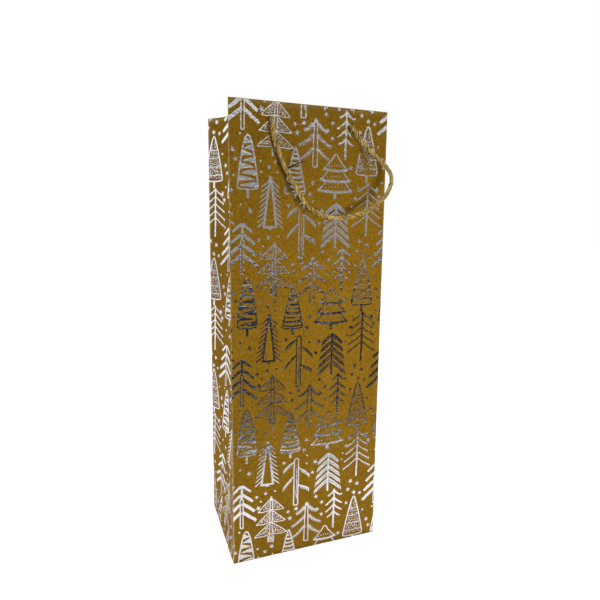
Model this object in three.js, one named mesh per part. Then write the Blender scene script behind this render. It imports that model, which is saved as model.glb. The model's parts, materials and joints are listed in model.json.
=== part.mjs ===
// A tall gift bag for one bottle: one printed kraft sheet, folded and glued at the base, with
// tucked side gussets, card strips under its turned-in rim, a loose base card and two knotted
// twine handles. Millimetres, +Z up. The origin is the middle of the base, the front panel faces -Y.
import * as THREE from "three";

// ---- Driving dimensions ---------------------------------------------------------------------
const WIDTH = 127; // front panel, left to right
const DEPTH = 90; // base, front to back
const HEIGHT = 360;
const FRONT_LEAN = 1.5; // how far the rim of the front panel stands in from the base
const REAR_LEAN = 6.5; // the same for the back panel
const SHEET = 0.5; // thickness of the paper panels
const CARD = 0.8; // rim stiffeners
const BASE_CARD = 1.0;
const GAP = 0.3; // clearance between layers that touch

const FOOT_HEIGHT = 44.5; // apex of the triangle at the foot of each gusset
const GUSSET_BOW = 5; // how far each gusset half bows into the bag at the rim
const EDGE_INSET = 1.8; // from a vertical bag edge to the gusset sheet, clear of the panel's thickness
const CREASE_INSET = 0.25; // from a crease to the sheet on either side of it
const FOOT_INSET = 1.0; // from the foot triangle's corners and slanted creases, along the base
const LOWEST_ROW = 3; // the gusset halves start here, above their pointed lower corners
const GUSSET_ROWS = 11;

const TURN_IN = 40; // depth of the rim that is folded inside
const SIDE_TURN_IN_START = 5; // from a vertical edge to the gusset's turned-in strip
const FACE_TURN_IN_WIDTH = 115;
const STIFFENER = { width: 121, height: 32, top: 357.5 };

const HOLE = { x: 32, z: 346, radius: 2.5 };
const CORD_RADIUS = 1.75;
const CORD_STAND_OFF = 2.6; // from the panel's face to the axis that the handle swings about
const CORD_SIDES = 10;
const CORD_STEPS = 24;
const KNOT = { neckRadius: 1.9, start: -0.25, bulgeStart: 2.95, length: 6.8, radius: 4.2 };

const SEAM_TAB = { fromX: -60.5, width: 15, bottom: 4.5, top: 317 };
const FLAP_REACH = 62; // of the front and back base flaps, measured in from their own edge
const SIDE_FLAP_REACH = 35;
const BASE_INSERT = { width: 121, depth: 84 };

// ---- Finishes -------------------------------------------------------------------------------
const kraft = new THREE.MeshStandardMaterial({ color: 0x7a6128, roughness: 0.78, metalness: 0 });
const kraftInside = new THREE.MeshStandardMaterial({ color: 0x9c7d46, roughness: 0.85, metalness: 0 });
const greyCard = new THREE.MeshStandardMaterial({ color: 0x8d8a80, roughness: 0.9, metalness: 0 });
const jute = new THREE.MeshStandardMaterial({ color: 0xb58b45, roughness: 0.95, metalness: 0 });

const bag = new THREE.Group();

function addPart(parent, name, geometry, material) {
  const mesh = new THREE.Mesh(geometry, material.clone());
  mesh.name = name;
  parent.add(mesh);
  return mesh;
}

// ---- The folded tube: where its edges and creases are at a height h -------------------------
const frontY = (h) => -DEPTH / 2 + (FRONT_LEAN * h) / HEIGHT;
const rearY = (h) => DEPTH / 2 - (REAR_LEAN * h) / HEIGHT;
// Each gusset half keeps its width of DEPTH / 2, so its crease moves in as the panels come together.
const tuck = (h) => Math.sqrt((DEPTH / 2) ** 2 - ((rearY(h) - frontY(h)) / 2) ** 2);

function edgePoint(side, face, h) {
  return new THREE.Vector3((side * WIDTH) / 2, face === "front" ? frontY(h) : rearY(h), h);
}

function creasePoint(side, h) {
  return new THREE.Vector3(side * (WIDTH / 2 - tuck(h)), (frontY(h) + rearY(h)) / 2, h);
}

// The inner boundary of a gusset half: the slanted crease of the foot, then the upright crease.
function innerBoundary(side, face, h) {
  if (h >= FOOT_HEIGHT) return creasePoint(side, h);
  return edgePoint(side, face, 0).lerp(creasePoint(side, FOOT_HEIGHT), h / FOOT_HEIGHT);
}

// The rows of a gusset half: one strip up to the foot's apex, then rows that close up where the
// crease curves most.
function rowHeight(v) {
  const row = v * GUSSET_ROWS;
  if (row <= 1) return THREE.MathUtils.lerp(LOWEST_ROW, FOOT_HEIGHT, row);
  return THREE.MathUtils.lerp(FOOT_HEIGHT, HEIGHT, ((row - 1) / (GUSSET_ROWS - 1)) ** 1.3);
}

// A point of a gusset half's outer face: s runs from the bag's vertical edge (0) to the crease (1).
function gussetPoint(side, face, s, h) {
  const edge = edgePoint(side, face, h);
  const inner = innerBoundary(side, face, h);
  const rise = Math.max(0, (h - FOOT_HEIGHT) / (HEIGHT - FOOT_HEIGHT));
  const bow = GUSSET_BOW * Math.sqrt(rise) * Math.sin(Math.PI * s);
  const point = edge.clone().lerp(inner, s);
  const chord = inner.clone().sub(edge).normalize();
  point.x -= side * bow * Math.abs(chord.y);
  point.y += side * bow * chord.x * Math.sign(chord.y);
  return point;
}

// ---- A thin closed solid between two offsets of a surface -----------------------------------
// surface(u, v) gives the outer face over the unit square; inward points from it to the bag's inside.
function sheetSolid(surface, inward, columns, rows, nearDepth, farDepth) {
  const step = 1e-3;
  const positions = [];
  for (const depth of [nearDepth, farDepth]) {
    for (let j = 0; j <= rows; j++) {
      for (let i = 0; i <= columns; i++) {
        const [u, v] = [i / columns, j / rows];
        const [u0, u1] = [Math.max(0, u - step), Math.min(1, u + step)];
        const [v0, v1] = [Math.max(0, v - step), Math.min(1, v + step)];
        const across = surface(u1, v).sub(surface(u0, v));
        const up = surface(u, v1).sub(surface(u, v0));
        const normal = across.cross(up).normalize();
        if (normal.dot(inward) < 0) normal.negate();
        positions.push(...surface(u, v).addScaledVector(normal, depth).toArray());
      }
    }
  }
  const layer = (columns + 1) * (rows + 1);
  const at = (i, j, k) => k * layer + j * (columns + 1) + i;
  const index = [];
  const quad = (a, b, c, d) => index.push(a, b, c, a, c, d);
  for (let j = 0; j < rows; j++) {
    for (let i = 0; i < columns; i++) {
      quad(at(i, j, 0), at(i + 1, j, 0), at(i + 1, j + 1, 0), at(i, j + 1, 0));
      quad(at(i, j + 1, 1), at(i + 1, j + 1, 1), at(i + 1, j, 1), at(i, j, 1));
    }
  }
  for (let i = 0; i < columns; i++) {
    quad(at(i, 0, 1), at(i + 1, 0, 1), at(i + 1, 0, 0), at(i, 0, 0));
    quad(at(i, rows, 0), at(i + 1, rows, 0), at(i + 1, rows, 1), at(i, rows, 1));
  }
  for (let j = 0; j < rows; j++) {
    quad(at(0, j, 0), at(0, j + 1, 0), at(0, j + 1, 1), at(0, j, 1));
    quad(at(columns, j, 1), at(columns, j + 1, 1), at(columns, j + 1, 0), at(columns, j, 0));
  }
  const geometry = new THREE.BufferGeometry();
  geometry.setAttribute("position", new THREE.Float32BufferAttribute(positions, 3));
  geometry.setIndex(index);
  if (signedVolume(geometry) < 0) index.reverse();
  geometry.setIndex(index);
  return geometry;
}

function signedVolume(geometry) {
  const { attributes, index } = geometry;
  const corner = (k) => new THREE.Vector3().fromBufferAttribute(attributes.position, index.getX(k));
  let volume = 0;
  for (let k = 0; k < index.count; k += 3) {
    volume += corner(k).dot(corner(k + 1).cross(corner(k + 2))) / 6;
  }
  return volume;
}

// ---- Flat faces: the front and back panels with their card and turned-in rim ----------------
function rectangle(x0, z0, x1, z1) {
  return new THREE.Shape([
    new THREE.Vector2(x0, z0),
    new THREE.Vector2(x1, z0),
    new THREE.Vector2(x1, z1),
    new THREE.Vector2(x0, z1),
  ]);
}

function punchCordHoles(shape) {
  for (const x of [-HOLE.x, HOLE.x]) {
    shape.holes.push(new THREE.Path().absarc(x, HOLE.z, HOLE.radius, 0, 2 * Math.PI, true));
  }
  return shape;
}

// A layer of a face, drawn looking at its outside with x across and z up, at a depth below the outer surface.
function faceLayer(shape, depth, thickness) {
  const settings = { depth: thickness, bevelEnabled: false, curveSegments: 8 };
  const geometry = new THREE.ExtrudeGeometry(shape, settings);
  return geometry.rotateX(Math.PI / 2).translate(0, depth + thickness, 0);
}

// A face group stands on the base line y = 0 with its outside towards -Y, and leans back about that line.
function faceGroup(lean, turned) {
  const face = new THREE.Group();
  face.rotation.x = -Math.asin(lean / HEIGHT);
  const place = new THREE.Group();
  if (turned) place.rotation.z = Math.PI;
  face.position.y = -DEPTH / 2;
  place.add(face);
  bag.add(place);
  return face;
}

function knotGeometry() {
  const { neckRadius, start, bulgeStart, length, radius } = KNOT;
  const profile = [new THREE.Vector2(0, start), new THREE.Vector2(neckRadius, start)];
  profile.push(new THREE.Vector2(neckRadius, bulgeStart));
  const arcSteps = 6;
  for (let k = 0; k <= arcSteps; k++) {
    const angle = (Math.PI * (k + 0.5)) / (arcSteps + 1);
    const along = bulgeStart + (length * (1 - Math.cos(angle))) / 2;
    profile.push(new THREE.Vector2(radius * Math.sin(angle), along));
  }
  profile.push(new THREE.Vector2(0, bulgeStart + length));
  return new THREE.LatheGeometry(profile, 12);
}

function addFace(name, lean, turned) {
  const face = faceGroup(lean, turned);
  const half = WIDTH / 2;
  const panelShape = punchCordHoles(rectangle(-half, 0, half, HEIGHT));
  addPart(face, `${name}_panel`, faceLayer(panelShape, 0, SHEET), kraft);

  const { width, height, top } = STIFFENER;
  const cardShape = punchCordHoles(rectangle(-width / 2, top - height, width / 2, top));
  addPart(face, `${name}_rim_card`, faceLayer(cardShape, SHEET + GAP, CARD), greyCard);

  const reach = FACE_TURN_IN_WIDTH / 2;
  const flapShape = punchCordHoles(rectangle(-reach, HEIGHT - TURN_IN, reach, HEIGHT - GAP));
  addPart(face, `${name}_rim_turn_in`, faceLayer(flapShape, SHEET + CARD + 2 * GAP, SHEET), kraftInside);

  const sides = turned ? ["right", "left"] : ["left", "right"];
  sides.forEach((side, k) => {
    const knot = addPart(face, `${name}_${side}_knot`, knotGeometry(), jute);
    knot.position.set(k ? HOLE.x : -HOLE.x, 0, HOLE.z);
  });
  return face;
}

const frontFace = addFace("front", FRONT_LEAN, false);
addFace("back", REAR_LEAN, true);

// The glued side seam: a narrow tab of the left gusset inside the front panel, by its left edge.
const { fromX, width: tabWidth, bottom: tabBottom, top: tabTop } = SEAM_TAB;
const tabShape = rectangle(fromX, tabBottom, fromX + tabWidth, tabTop);
addPart(frontFace, "side_seam_tab", faceLayer(tabShape, SHEET + GAP, SHEET), kraftInside);

// ---- Gussets --------------------------------------------------------------------------------
function addGusset(sideName, side) {
  const inward = new THREE.Vector3(-side, 0, 0);
  for (const face of ["front", "rear"]) {
    const half = (u, v) => {
      const h = rowHeight(v);
      const span = edgePoint(side, face, h).distanceTo(innerBoundary(side, face, h));
      const s = THREE.MathUtils.lerp(EDGE_INSET / span, 1 - CREASE_INSET / span, u);
      return gussetPoint(side, face, s, h);
    };
    const halfSolid = sheetSolid(half, inward, 4, GUSSET_ROWS, 0, SHEET);
    addPart(bag, `${sideName}_gusset_${face}`, halfSolid, kraft);

    const rim = (u, v) => {
      const h = HEIGHT - GAP - (1 - v) * (TURN_IN - GAP);
      const start = SIDE_TURN_IN_START / (DEPTH / 2);
      const end = 1 - (3 * CREASE_INSET) / (DEPTH / 2);
      return gussetPoint(side, face, THREE.MathUtils.lerp(start, end, u), h);
    };
    const rimDepth = SHEET + GAP;
    const rimSolid = sheetSolid(rim, inward, 4, 2, rimDepth, rimDepth + SHEET);
    addPart(bag, `${sideName}_${face}_rim_turn_in`, rimSolid, kraftInside);
  }
  const apex = creasePoint(side, FOOT_HEIGHT);
  const foot = (u, v) => {
    const h = v * (FOOT_HEIGHT - 2);
    const reach = (DEPTH / 2) * (1 - h / FOOT_HEIGHT) - FOOT_INSET;
    const x = THREE.MathUtils.lerp((side * WIDTH) / 2, apex.x, h / FOOT_HEIGHT);
    return new THREE.Vector3(x, (apex.y * h) / FOOT_HEIGHT + (2 * u - 1) * reach, h);
  };
  addPart(bag, `${sideName}_gusset_foot`, sheetSolid(foot, inward, 1, 1, 0, SHEET), kraft);
}

addGusset("left", -1);
addGusset("right", 1);

// ---- Base: four glued flaps and the loose card on top of them -------------------------------
function baseLayer(outline, bottom, thickness) {
  const shape = new THREE.Shape(outline.map(([x, y]) => new THREE.Vector2(x, y)));
  return new THREE.ExtrudeGeometry(shape, { depth: thickness, bevelEnabled: false }).translate(0, 0, bottom);
}

const floorHalfWidth = WIDTH / 2 - SHEET - 3 * GAP;
const floorHalfDepth = DEPTH / 2 - SHEET - GAP;
const layerPitch = SHEET + GAP;

function baseRectangle(halfWidth, y0, y1) {
  return [[-halfWidth, y0], [halfWidth, y0], [halfWidth, y1], [-halfWidth, y1]];
}

[["front", -1], ["back", 1]].forEach(([name, direction], k) => {
  const near = direction * floorHalfDepth;
  const far = direction * (floorHalfDepth - FLAP_REACH);
  const outline = baseRectangle(floorHalfWidth, near, far);
  addPart(bag, `base_${name}_flap`, baseLayer(outline, k * layerPitch, SHEET), kraft);
});

for (const [name, side] of [["left", -1], ["right", 1]]) {
  const outer = side * floorHalfWidth;
  const inner = side * (floorHalfWidth - SIDE_FLAP_REACH);
  const reach = floorHalfDepth - SIDE_FLAP_REACH;
  const outline = [[outer, -floorHalfDepth], [inner, -reach], [inner, reach], [outer, floorHalfDepth]];
  addPart(bag, `base_${name}_flap`, baseLayer(outline, 2 * layerPitch, SHEET), kraft);
}

const { width: boardWidth, depth: boardDepth } = BASE_INSERT;
const boardOutline = baseRectangle(boardWidth / 2, -boardDepth / 2, boardDepth / 2);
addPart(bag, "base_board", baseLayer(boardOutline, 3 * layerPitch, BASE_CARD), greyCard);

// ---- Handles --------------------------------------------------------------------------------
// A route is listed as [x, distance out from the swing axis, z], from the left hole to the right hole.
const frontRoute = [
  [-32, 0, 346], [-31.6, 0, 341.5], [-30.3, 0.2, 335.5], [-28.8, 0.6, 330], [-26.9, 1.4, 323.8],
  [-23.6, 3, 314.6], [-20.2, 4.2, 307.6], [-16, 5.2, 300.4], [-11, 6.4, 292], [-4.8, 7.4, 284.8],
  [3.4, 8.6, 280], [11.6, 9.6, 277.8], [19, 10.6, 277.4], [27.2, 11.6, 278.8], [35.6, 12.6, 281.4],
  [43.4, 13.6, 285.2], [50, 14.4, 290], [55.2, 15, 296.4], [58.2, 15.2, 303.2], [58.8, 14.4, 309],
  [56.6, 12.4, 314.8], [51.6, 9, 321.4], [46.4, 4.4, 327.4], [41.4, 1, 333.2], [37.2, 0.2, 338.6],
  [33.8, 0, 342.8], [32, 0, 346],
];
const backRoute = [
  [-32, 0, 346], [-31.6, 0, 340], [-31.6, 0.4, 334], [-32, 1.4, 328], [-32, 3, 320],
  [-31.2, 4.8, 310], [-28.6, 6.6, 299], [-24, 8.2, 289], [-17.4, 9.6, 280.4], [-9, 10.6, 274.2],
  [1, 11, 271.6], [11, 10.8, 273], [20.4, 10, 278.2], [28, 9, 285.6], [33.4, 7.8, 294.6],
  [36.6, 6.4, 304.6], [37.6, 4.8, 315], [36.8, 3, 324], [35, 1.2, 331.6], [33.2, 0.3, 338.6],
  [32, 0, 346],
];

function handleGeometry(route, axisY, outward) {
  const points = route.map(([x, out, z]) => new THREE.Vector3(x, axisY + outward * out, z));
  const section = new THREE.Shape();
  section.absarc(0, 0, CORD_RADIUS, 0, 2 * Math.PI);
  return new THREE.ExtrudeGeometry(section, {
    extrudePath: new THREE.CatmullRomCurve3(points, false, "centripetal"),
    steps: CORD_STEPS,
    curveSegments: CORD_SIDES / 2,
    bevelEnabled: false,
  });
}

const frontAxisY = frontY(HOLE.z) - CORD_STAND_OFF;
const backAxisY = rearY(HOLE.z) + CORD_STAND_OFF;
addPart(bag, "front_handle_cord", handleGeometry(frontRoute, frontAxisY, -1), jute);
addPart(bag, "back_handle_cord", handleGeometry(backRoute, backAxisY, 1), jute);

export default bag;
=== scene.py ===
"""Looks of a printed kraft gift bag for one bottle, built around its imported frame.

One sheet of kraft paper is folded into a tube with tucked sides, printed with fir trees in silver
foil, stiffened with card under a turned-in rim, and carried by two knotted cords of jute twine.
Metres, +Z up. The front face looks towards -Y and the origin is the middle of the base.
"""

import json
import logging
import math
from dataclasses import dataclass, field
from enum import Enum
from typing import Mapping, Optional, Sequence, Union

import bmesh
import bpy
import numpy as np
from mathutils import Matrix, Vector
from mathutils.geometry import delaunay_2d_cdt


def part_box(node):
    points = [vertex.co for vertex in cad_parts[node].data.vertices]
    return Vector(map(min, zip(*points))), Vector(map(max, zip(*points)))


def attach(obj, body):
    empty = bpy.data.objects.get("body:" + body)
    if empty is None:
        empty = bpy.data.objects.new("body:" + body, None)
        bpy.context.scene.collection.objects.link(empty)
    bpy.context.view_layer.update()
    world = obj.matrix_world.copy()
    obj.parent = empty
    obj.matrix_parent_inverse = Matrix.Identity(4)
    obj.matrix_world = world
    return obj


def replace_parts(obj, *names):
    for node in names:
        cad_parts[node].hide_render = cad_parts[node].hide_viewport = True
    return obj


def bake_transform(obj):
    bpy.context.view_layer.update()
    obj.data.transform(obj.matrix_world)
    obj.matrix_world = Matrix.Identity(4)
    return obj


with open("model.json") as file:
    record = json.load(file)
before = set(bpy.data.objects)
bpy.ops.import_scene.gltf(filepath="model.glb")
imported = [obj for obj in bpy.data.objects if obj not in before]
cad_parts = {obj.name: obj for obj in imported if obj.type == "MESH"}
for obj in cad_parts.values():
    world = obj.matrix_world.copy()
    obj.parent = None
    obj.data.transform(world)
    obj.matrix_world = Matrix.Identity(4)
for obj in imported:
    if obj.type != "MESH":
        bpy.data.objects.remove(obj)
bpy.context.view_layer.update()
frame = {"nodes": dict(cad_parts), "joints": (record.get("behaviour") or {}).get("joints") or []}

MM = 0.001
LOG = logging.getLogger("gift_bag")
Colour = tuple[float, float, float]
Input = Union["Socket", float, Sequence[float]]


# ---- Shader helpers ---------------------------------------------------------------------------


class Socket:
    """An output socket on which a Python expression adds Math nodes."""

    def __init__(self, shader: "Shader", link: bpy.types.NodeSocket) -> None:
        """Keeps the socket and the shader that its expressions grow in."""
        self.shader = shader
        self.link = link

    def math(self, operation: str, *values: Input, clamp: bool = False) -> "Socket":
        """Adds one Math node.

        Args:
            operation: The Math node's operation.
            values: Its values, in order.
            clamp: Whether the result is held between 0 and 1.

        Returns:
            The node's result.
        """
        settings = {"operation": operation, "use_clamp": clamp}
        return self.shader.node("ShaderNodeMath", settings, dict(enumerate(values)))

    def __add__(self, other: Input) -> "Socket":
        """self + other."""
        return self.math("ADD", self, other)

    __radd__ = __add__

    def __sub__(self, other: Input) -> "Socket":
        """self - other."""
        return self.math("SUBTRACT", self, other)

    def __rsub__(self, other: Input) -> "Socket":
        """other - self."""
        return self.math("SUBTRACT", other, self)

    def __mul__(self, other: Input) -> "Socket":
        """self * other."""
        return self.math("MULTIPLY", self, other)

    __rmul__ = __mul__

    def __truediv__(self, other: Input) -> "Socket":
        """self / other."""
        return self.math("DIVIDE", self, other)

    def ramp(self, low: float, high: float) -> "Socket":
        """0 below low, 1 above high and a straight line between them; low may be above high."""
        return self.math("MULTIPLY_ADD", self, 1 / (high - low), -low / (high - low), clamp=True)


class Shader:
    """The node tree of one material or of the world."""

    def __init__(self, owner: Union[bpy.types.Material, bpy.types.World]) -> None:
        """Empties the owner's node tree and keeps it."""
        owner.use_nodes = True
        self.tree = owner.node_tree
        self.tree.nodes.clear()

    def node(self, kind: str, settings: Optional[Mapping] = None,
             inputs: Optional[Mapping[Union[int, str], Input]] = None,
             output: Union[int, str] = 0) -> Socket:
        """Adds a node of any type.

        Args:
            kind: The node's type.
            settings: Its properties, set first; "stops" are a colour ramp's (place, colour) pairs.
            inputs: Values or links for its input sockets, by name or number.
            output: The output socket that is handed back.

        Returns:
            The chosen output socket.
        """
        node = self.tree.nodes.new(kind)
        for key, value in (settings or {}).items():
            if key == "stops":
                self._set_stops(node.color_ramp, value)
            else:
                setattr(node, key, value)
        for key, value in (inputs or {}).items():
            if isinstance(value, Socket):
                self.tree.links.new(value.link, node.inputs[key])
            else:
                node.inputs[key].default_value = value
        return Socket(self, node.outputs[output])

    @staticmethod
    def _set_stops(ramp: bpy.types.ColorRamp, stops: Sequence[tuple[float, Colour]]) -> None:
        """Gives a colour ramp its stops."""
        while len(ramp.elements) < len(stops):
            ramp.elements.new(0.5)
        for element, (place, colour) in zip(ramp.elements, stops):
            element.position = place
            element.color = (*colour, 1)

    def blend(self, factor: Input, first: Input, second: Input) -> Socket:
        """Mixes two colours: the first where factor is 0, the second where it is 1."""
        colours = {6: first, 7: second}
        inputs = {k: c if isinstance(c, Socket) else (*c, 1) for k, c in colours.items()}
        return self.node("ShaderNodeMix", {"data_type": "RGBA"}, {0: factor, **inputs}, output=2)

    def noise(self, place: Socket, frequency: Sequence[float], detail: float = 3.0,
              roughness: float = 0.55) -> Socket:
        """Fractal noise around 0.5.

        Args:
            place: The coordinates in metres.
            frequency: Cells per metre along each axis.
            detail: Octaves of the noise.
            roughness: How strong the fine octaves are.

        Returns:
            The noise value.
        """
        scaled = self.node("ShaderNodeMapping", None, {"Vector": place, "Scale": frequency})
        inputs = {"Vector": scaled, "Scale": 1.0, "Detail": detail, "Roughness": roughness}
        return self.node("ShaderNodeTexNoise", None, inputs)

    def bump(self, height: Socket, distance: float, strength: float = 1.0) -> Socket:
        """A normal bent by a height between 0 and 1 that stands for distance metres."""
        inputs = {"Height": height, "Distance": distance, "Strength": strength}
        return self.node("ShaderNodeBump", None, inputs)

    def sheet_place(self, layer: str) -> Socket:
        """The coordinates of a UV map, in metres."""
        return self.node("ShaderNodeUVMap", {"uv_map": layer})

    def principled(self, inputs: Mapping[Union[int, str], Input]) -> None:
        """Ends the tree with a Principled shader."""
        surface = self.node("ShaderNodeBsdfPrincipled", None, inputs)
        self.node_output(surface)

    def node_output(self, surface: Socket) -> None:
        """Links a shader to a material's output."""
        output = self.tree.nodes.new("ShaderNodeOutputMaterial")
        self.tree.links.new(surface.link, output.inputs["Surface"])


def new_shader(name: str) -> tuple[bpy.types.Material, Shader]:
    """Makes an empty material and the shader that fills it."""
    material = bpy.data.materials.new(name)
    return material, Shader(material)


SHEET_MAP = "sheet"
# Per-point mask at the folds and the rim's bend: worn paper plus a painted highlight line.
FOLD_WEAR_AND_HIGHLIGHT = "fold_wear"


# ---- Finishes ---------------------------------------------------------------------------------


@dataclass(frozen=True)
class KraftFinish:
    """Uncoated kraft paper: mottled pulp, short fibres, dark and pale flecks, and worn folds with a painted
    highlight line along them.
    """

    name: str
    dark: Colour
    light: Colour
    worn_and_highlight: Colour
    wear_and_highlight: float = 0.5
    on_sheet: bool = True

    def material(self) -> bpy.types.Material:
        """Builds the paper's material on the sheet's own coordinates, or on object coordinates."""
        material, shader = new_shader(self.name)
        place = shader.sheet_place(SHEET_MAP)
        if not self.on_sheet:
            place = shader.node("ShaderNodeTexCoord", output="Object")
        clouds = shader.noise(place, (70, 45, 1), 2)
        mottle = shader.noise(place, (520, 430, 1), 3)
        upright = shader.noise(place, (2600, 620, 1), 2)
        crossing = shader.noise(place, (700, 2900, 1), 2)
        grain = 0.42 * mottle + 0.34 * upright + 0.24 * crossing
        tone = (grain * 4.4 - 1.7) + (clouds - 0.5) * 0.6
        colour = shader.blend(tone.ramp(0, 1), self.dark, self.light)
        dark_fleck = shader.noise(place, (900, 1300, 1), 1).ramp(0.70, 0.74) * 0.4
        pale_fleck = shader.noise(place, (1500, 700, 1), 1).ramp(0.71, 0.76) * 0.3
        colour = shader.blend(dark_fleck, colour, tuple(c * 0.45 for c in self.dark))
        colour = shader.blend(pale_fleck, colour, self.worn_and_highlight)
        # Paler along the folds and the rim: worn paper plus a painted highlight where the rounded fold
        # catches the light.
        fold = shader.node("ShaderNodeAttribute", {"attribute_name": FOLD_WEAR_AND_HIGHLIGHT}, output="Fac")
        rubbed_and_highlight = fold * self.wear_and_highlight * shader.noise(place, (900, 260, 1), 3).ramp(0.25, 0.60)
        shader.principled({
            "Base Color": shader.blend(rubbed_and_highlight, colour, self.worn_and_highlight),
            "Roughness": 0.78 + (mottle - 0.5) * 0.3,
            "Specular IOR Level": 0.06,
            "Normal": shader.bump(grain, 0.07 * MM, 0.8),
        })
        return material


@dataclass(frozen=True)
class FoilFinish:
    """Hot-stamped silver foil that takes the paper's tooth and is thin in places."""

    name: str = "silver_foil_print"
    silver: Colour = (0.86, 0.86, 0.87)
    thin: Colour = (0.42, 0.36, 0.26)

    def material(self) -> bpy.types.Material:
        """Builds the foil's material on the sheet's own coordinates."""
        material, shader = new_shader(self.name)
        place = shader.sheet_place(SHEET_MAP)
        tooth = shader.noise(place, (1500, 1300, 1), 2)
        dents = shader.noise(place, (300, 260, 1), 2)
        missed = shader.noise(place, (950, 1100, 1), 3).ramp(0.60, 0.72)
        shader.principled({
            "Base Color": shader.blend(missed * 0.75, self.silver, self.thin),
            "Metallic": 1 - missed * 0.55,
            "Roughness": 0.10 + (tooth - 0.4) * 0.25 + missed * 0.2,
            "Normal": shader.bump(tooth * 0.05 + dents * 0.95, 0.30 * MM),
        })
        return material


@dataclass(frozen=True)
class TwineFinish:
    """Golden jute: fine fibres along each ply, with painted shade where they part, some bleached and with a
    painted highlight on the raised strands.
    """

    name: str = "jute_twine"
    shadow: Colour = (0.040, 0.022, 0.004)
    fibre: Colour = (0.29, 0.180, 0.034)
    bleached_and_highlight: Colour = (0.72, 0.52, 0.17)

    def material(self) -> bpy.types.Material:
        """Builds the twine's material on coordinates that follow the plies."""
        material, shader = new_shader(self.name)
        place = shader.sheet_place(SHEET_MAP)
        strands = shader.noise(place, (2900, 170, 1), 3, 0.6)
        hairs = shader.noise(place, (7000, 420, 1), 2)
        clumps = shader.noise(place, (500, 90, 1), 2)
        height = strands * 0.65 + hairs * 0.35
        # Painted shade in the low gaps between the fibres.
        colour = shader.blend(height.ramp(0.455, 0.525), self.shadow, self.fibre)
        # Paler where the strands stand high: bleached fibres plus a painted highlight on the raised strands.
        pale = (strands * 0.5 + hairs * 0.2 + clumps * 0.3).ramp(0.47, 0.57)
        shader.principled({
            "Base Color": shader.blend(pale, colour, self.bleached_and_highlight),
            "Roughness": 0.85 - hairs * 0.25,
            "Specular IOR Level": 0.2,
            "Sheen Weight": 0.06,
            "Sheen Roughness": 0.5,
            "Normal": shader.bump(height, 0.28 * MM),
        })
        return material


@dataclass(frozen=True)
class BoardFinish:
    """Grey recycled board with paper flecks."""

    name: str = "grey_board"
    grey: Colour = (0.30, 0.285, 0.25)
    dark: Colour = (0.19, 0.175, 0.15)
    fleck: Colour = (0.48, 0.46, 0.42)

    def material(self) -> bpy.types.Material:
        """Builds the board's material on object coordinates."""
        material, shader = new_shader(self.name)
        place = shader.node("ShaderNodeTexCoord", output="Object")
        pulp = shader.noise(place, (380, 380, 380), 4)
        flecks = shader.noise(place, (1100, 1400, 1200), 1).ramp(0.66, 0.70)
        colour = shader.blend(pulp.ramp(0.3, 0.7), self.dark, self.grey)
        shader.principled({
            "Base Color": shader.blend(flecks * 0.6, colour, self.fleck),
            "Roughness": 0.82 + (pulp - 0.5) * 0.2,
            "Specular IOR Level": 0.25,
            "Normal": shader.bump(pulp, 0.08 * MM, 0.7),
        })
        return material


# ---- Shapes as numpy arrays -------------------------------------------------------------------


@dataclass
class Shape:
    """Points, faces and values per point of a piece before it is a mesh."""

    points: np.ndarray
    faces: list[np.ndarray]
    places: Optional[np.ndarray] = None
    wear_and_highlight: Optional[np.ndarray] = None

    def piece(self, name: str, material: bpy.types.Material,
              smooth: bool = True) -> bpy.types.Object:
        """Makes the Blender object, with its place in its mesh.

        Args:
            name: The piece's name.
            material: Its finish.
            smooth: Whether its faces are shaded smooth.

        Returns:
            The linked object.
        """
        mesh = bpy.data.meshes.new(name)
        faces = [corner for block in self.faces for corner in block.tolist()]
        mesh.from_pydata(self.points.tolist(), [], faces)
        if self.places is not None:
            corners = np.zeros(len(mesh.loops), np.int32)
            mesh.loops.foreach_get("vertex_index", corners)
            layer = mesh.uv_layers.new(name=SHEET_MAP)
            layer.data.foreach_set("uv", self.places[corners].astype(np.float32).ravel())
        if self.wear_and_highlight is not None:
            attribute = mesh.attributes.new(FOLD_WEAR_AND_HIGHLIGHT, "FLOAT", "POINT")
            attribute.data.foreach_set("value", self.wear_and_highlight.astype(np.float32).ravel())
        mesh.polygons.foreach_set("use_smooth", np.full(len(mesh.polygons), smooth))
        mesh.materials.append(material)
        mesh.update()
        piece = bpy.data.objects.new(name, mesh)
        bpy.context.scene.collection.objects.link(piece)
        return piece


def join_shapes(shapes: Sequence[Shape]) -> Shape:
    """Puts shapes that all have places into one, each with its point numbers moved up."""
    starts = np.cumsum([0] + [len(shape.points) for shape in shapes])
    faces = [block + start for shape, start in zip(shapes, starts) for block in shape.faces]
    points = np.concatenate([shape.points for shape in shapes])
    return Shape(points, faces, np.concatenate([shape.places for shape in shapes]))


def grid_faces(rows: int, columns: int, wrap: bool = False) -> np.ndarray:
    """The quads of a grid whose point (j, i) is number j * columns + i.

    Args:
        rows: Rows of points.
        columns: Points in a row.
        wrap: Whether each row closes on itself.

    Returns:
        One quad per cell, anticlockwise when columns run right and rows run up.
    """
    across = np.arange(columns if wrap else columns - 1)
    start = (np.arange(rows - 1) * columns)[:, None]
    near, far = start + across, start + (across + 1) % columns
    return np.stack([near, far, far + columns, near + columns], -1).reshape(-1, 4)


def unit(vectors: np.ndarray) -> np.ndarray:
    """Vectors over their own length; a null vector stays null."""
    return vectors / np.maximum(np.linalg.norm(vectors, axis=-1, keepdims=True), 1e-12)


def weld(piece: bpy.types.Object, distance: float) -> None:
    """Merges points closer than distance, which closes poles and drops flat faces."""
    shell = bmesh.new()
    shell.from_mesh(piece.data)
    bmesh.ops.remove_doubles(shell, verts=shell.verts, dist=distance)
    bmesh.ops.dissolve_degenerate(shell, edges=shell.edges, dist=distance)
    shell.to_mesh(piece.data)
    shell.free()


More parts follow.
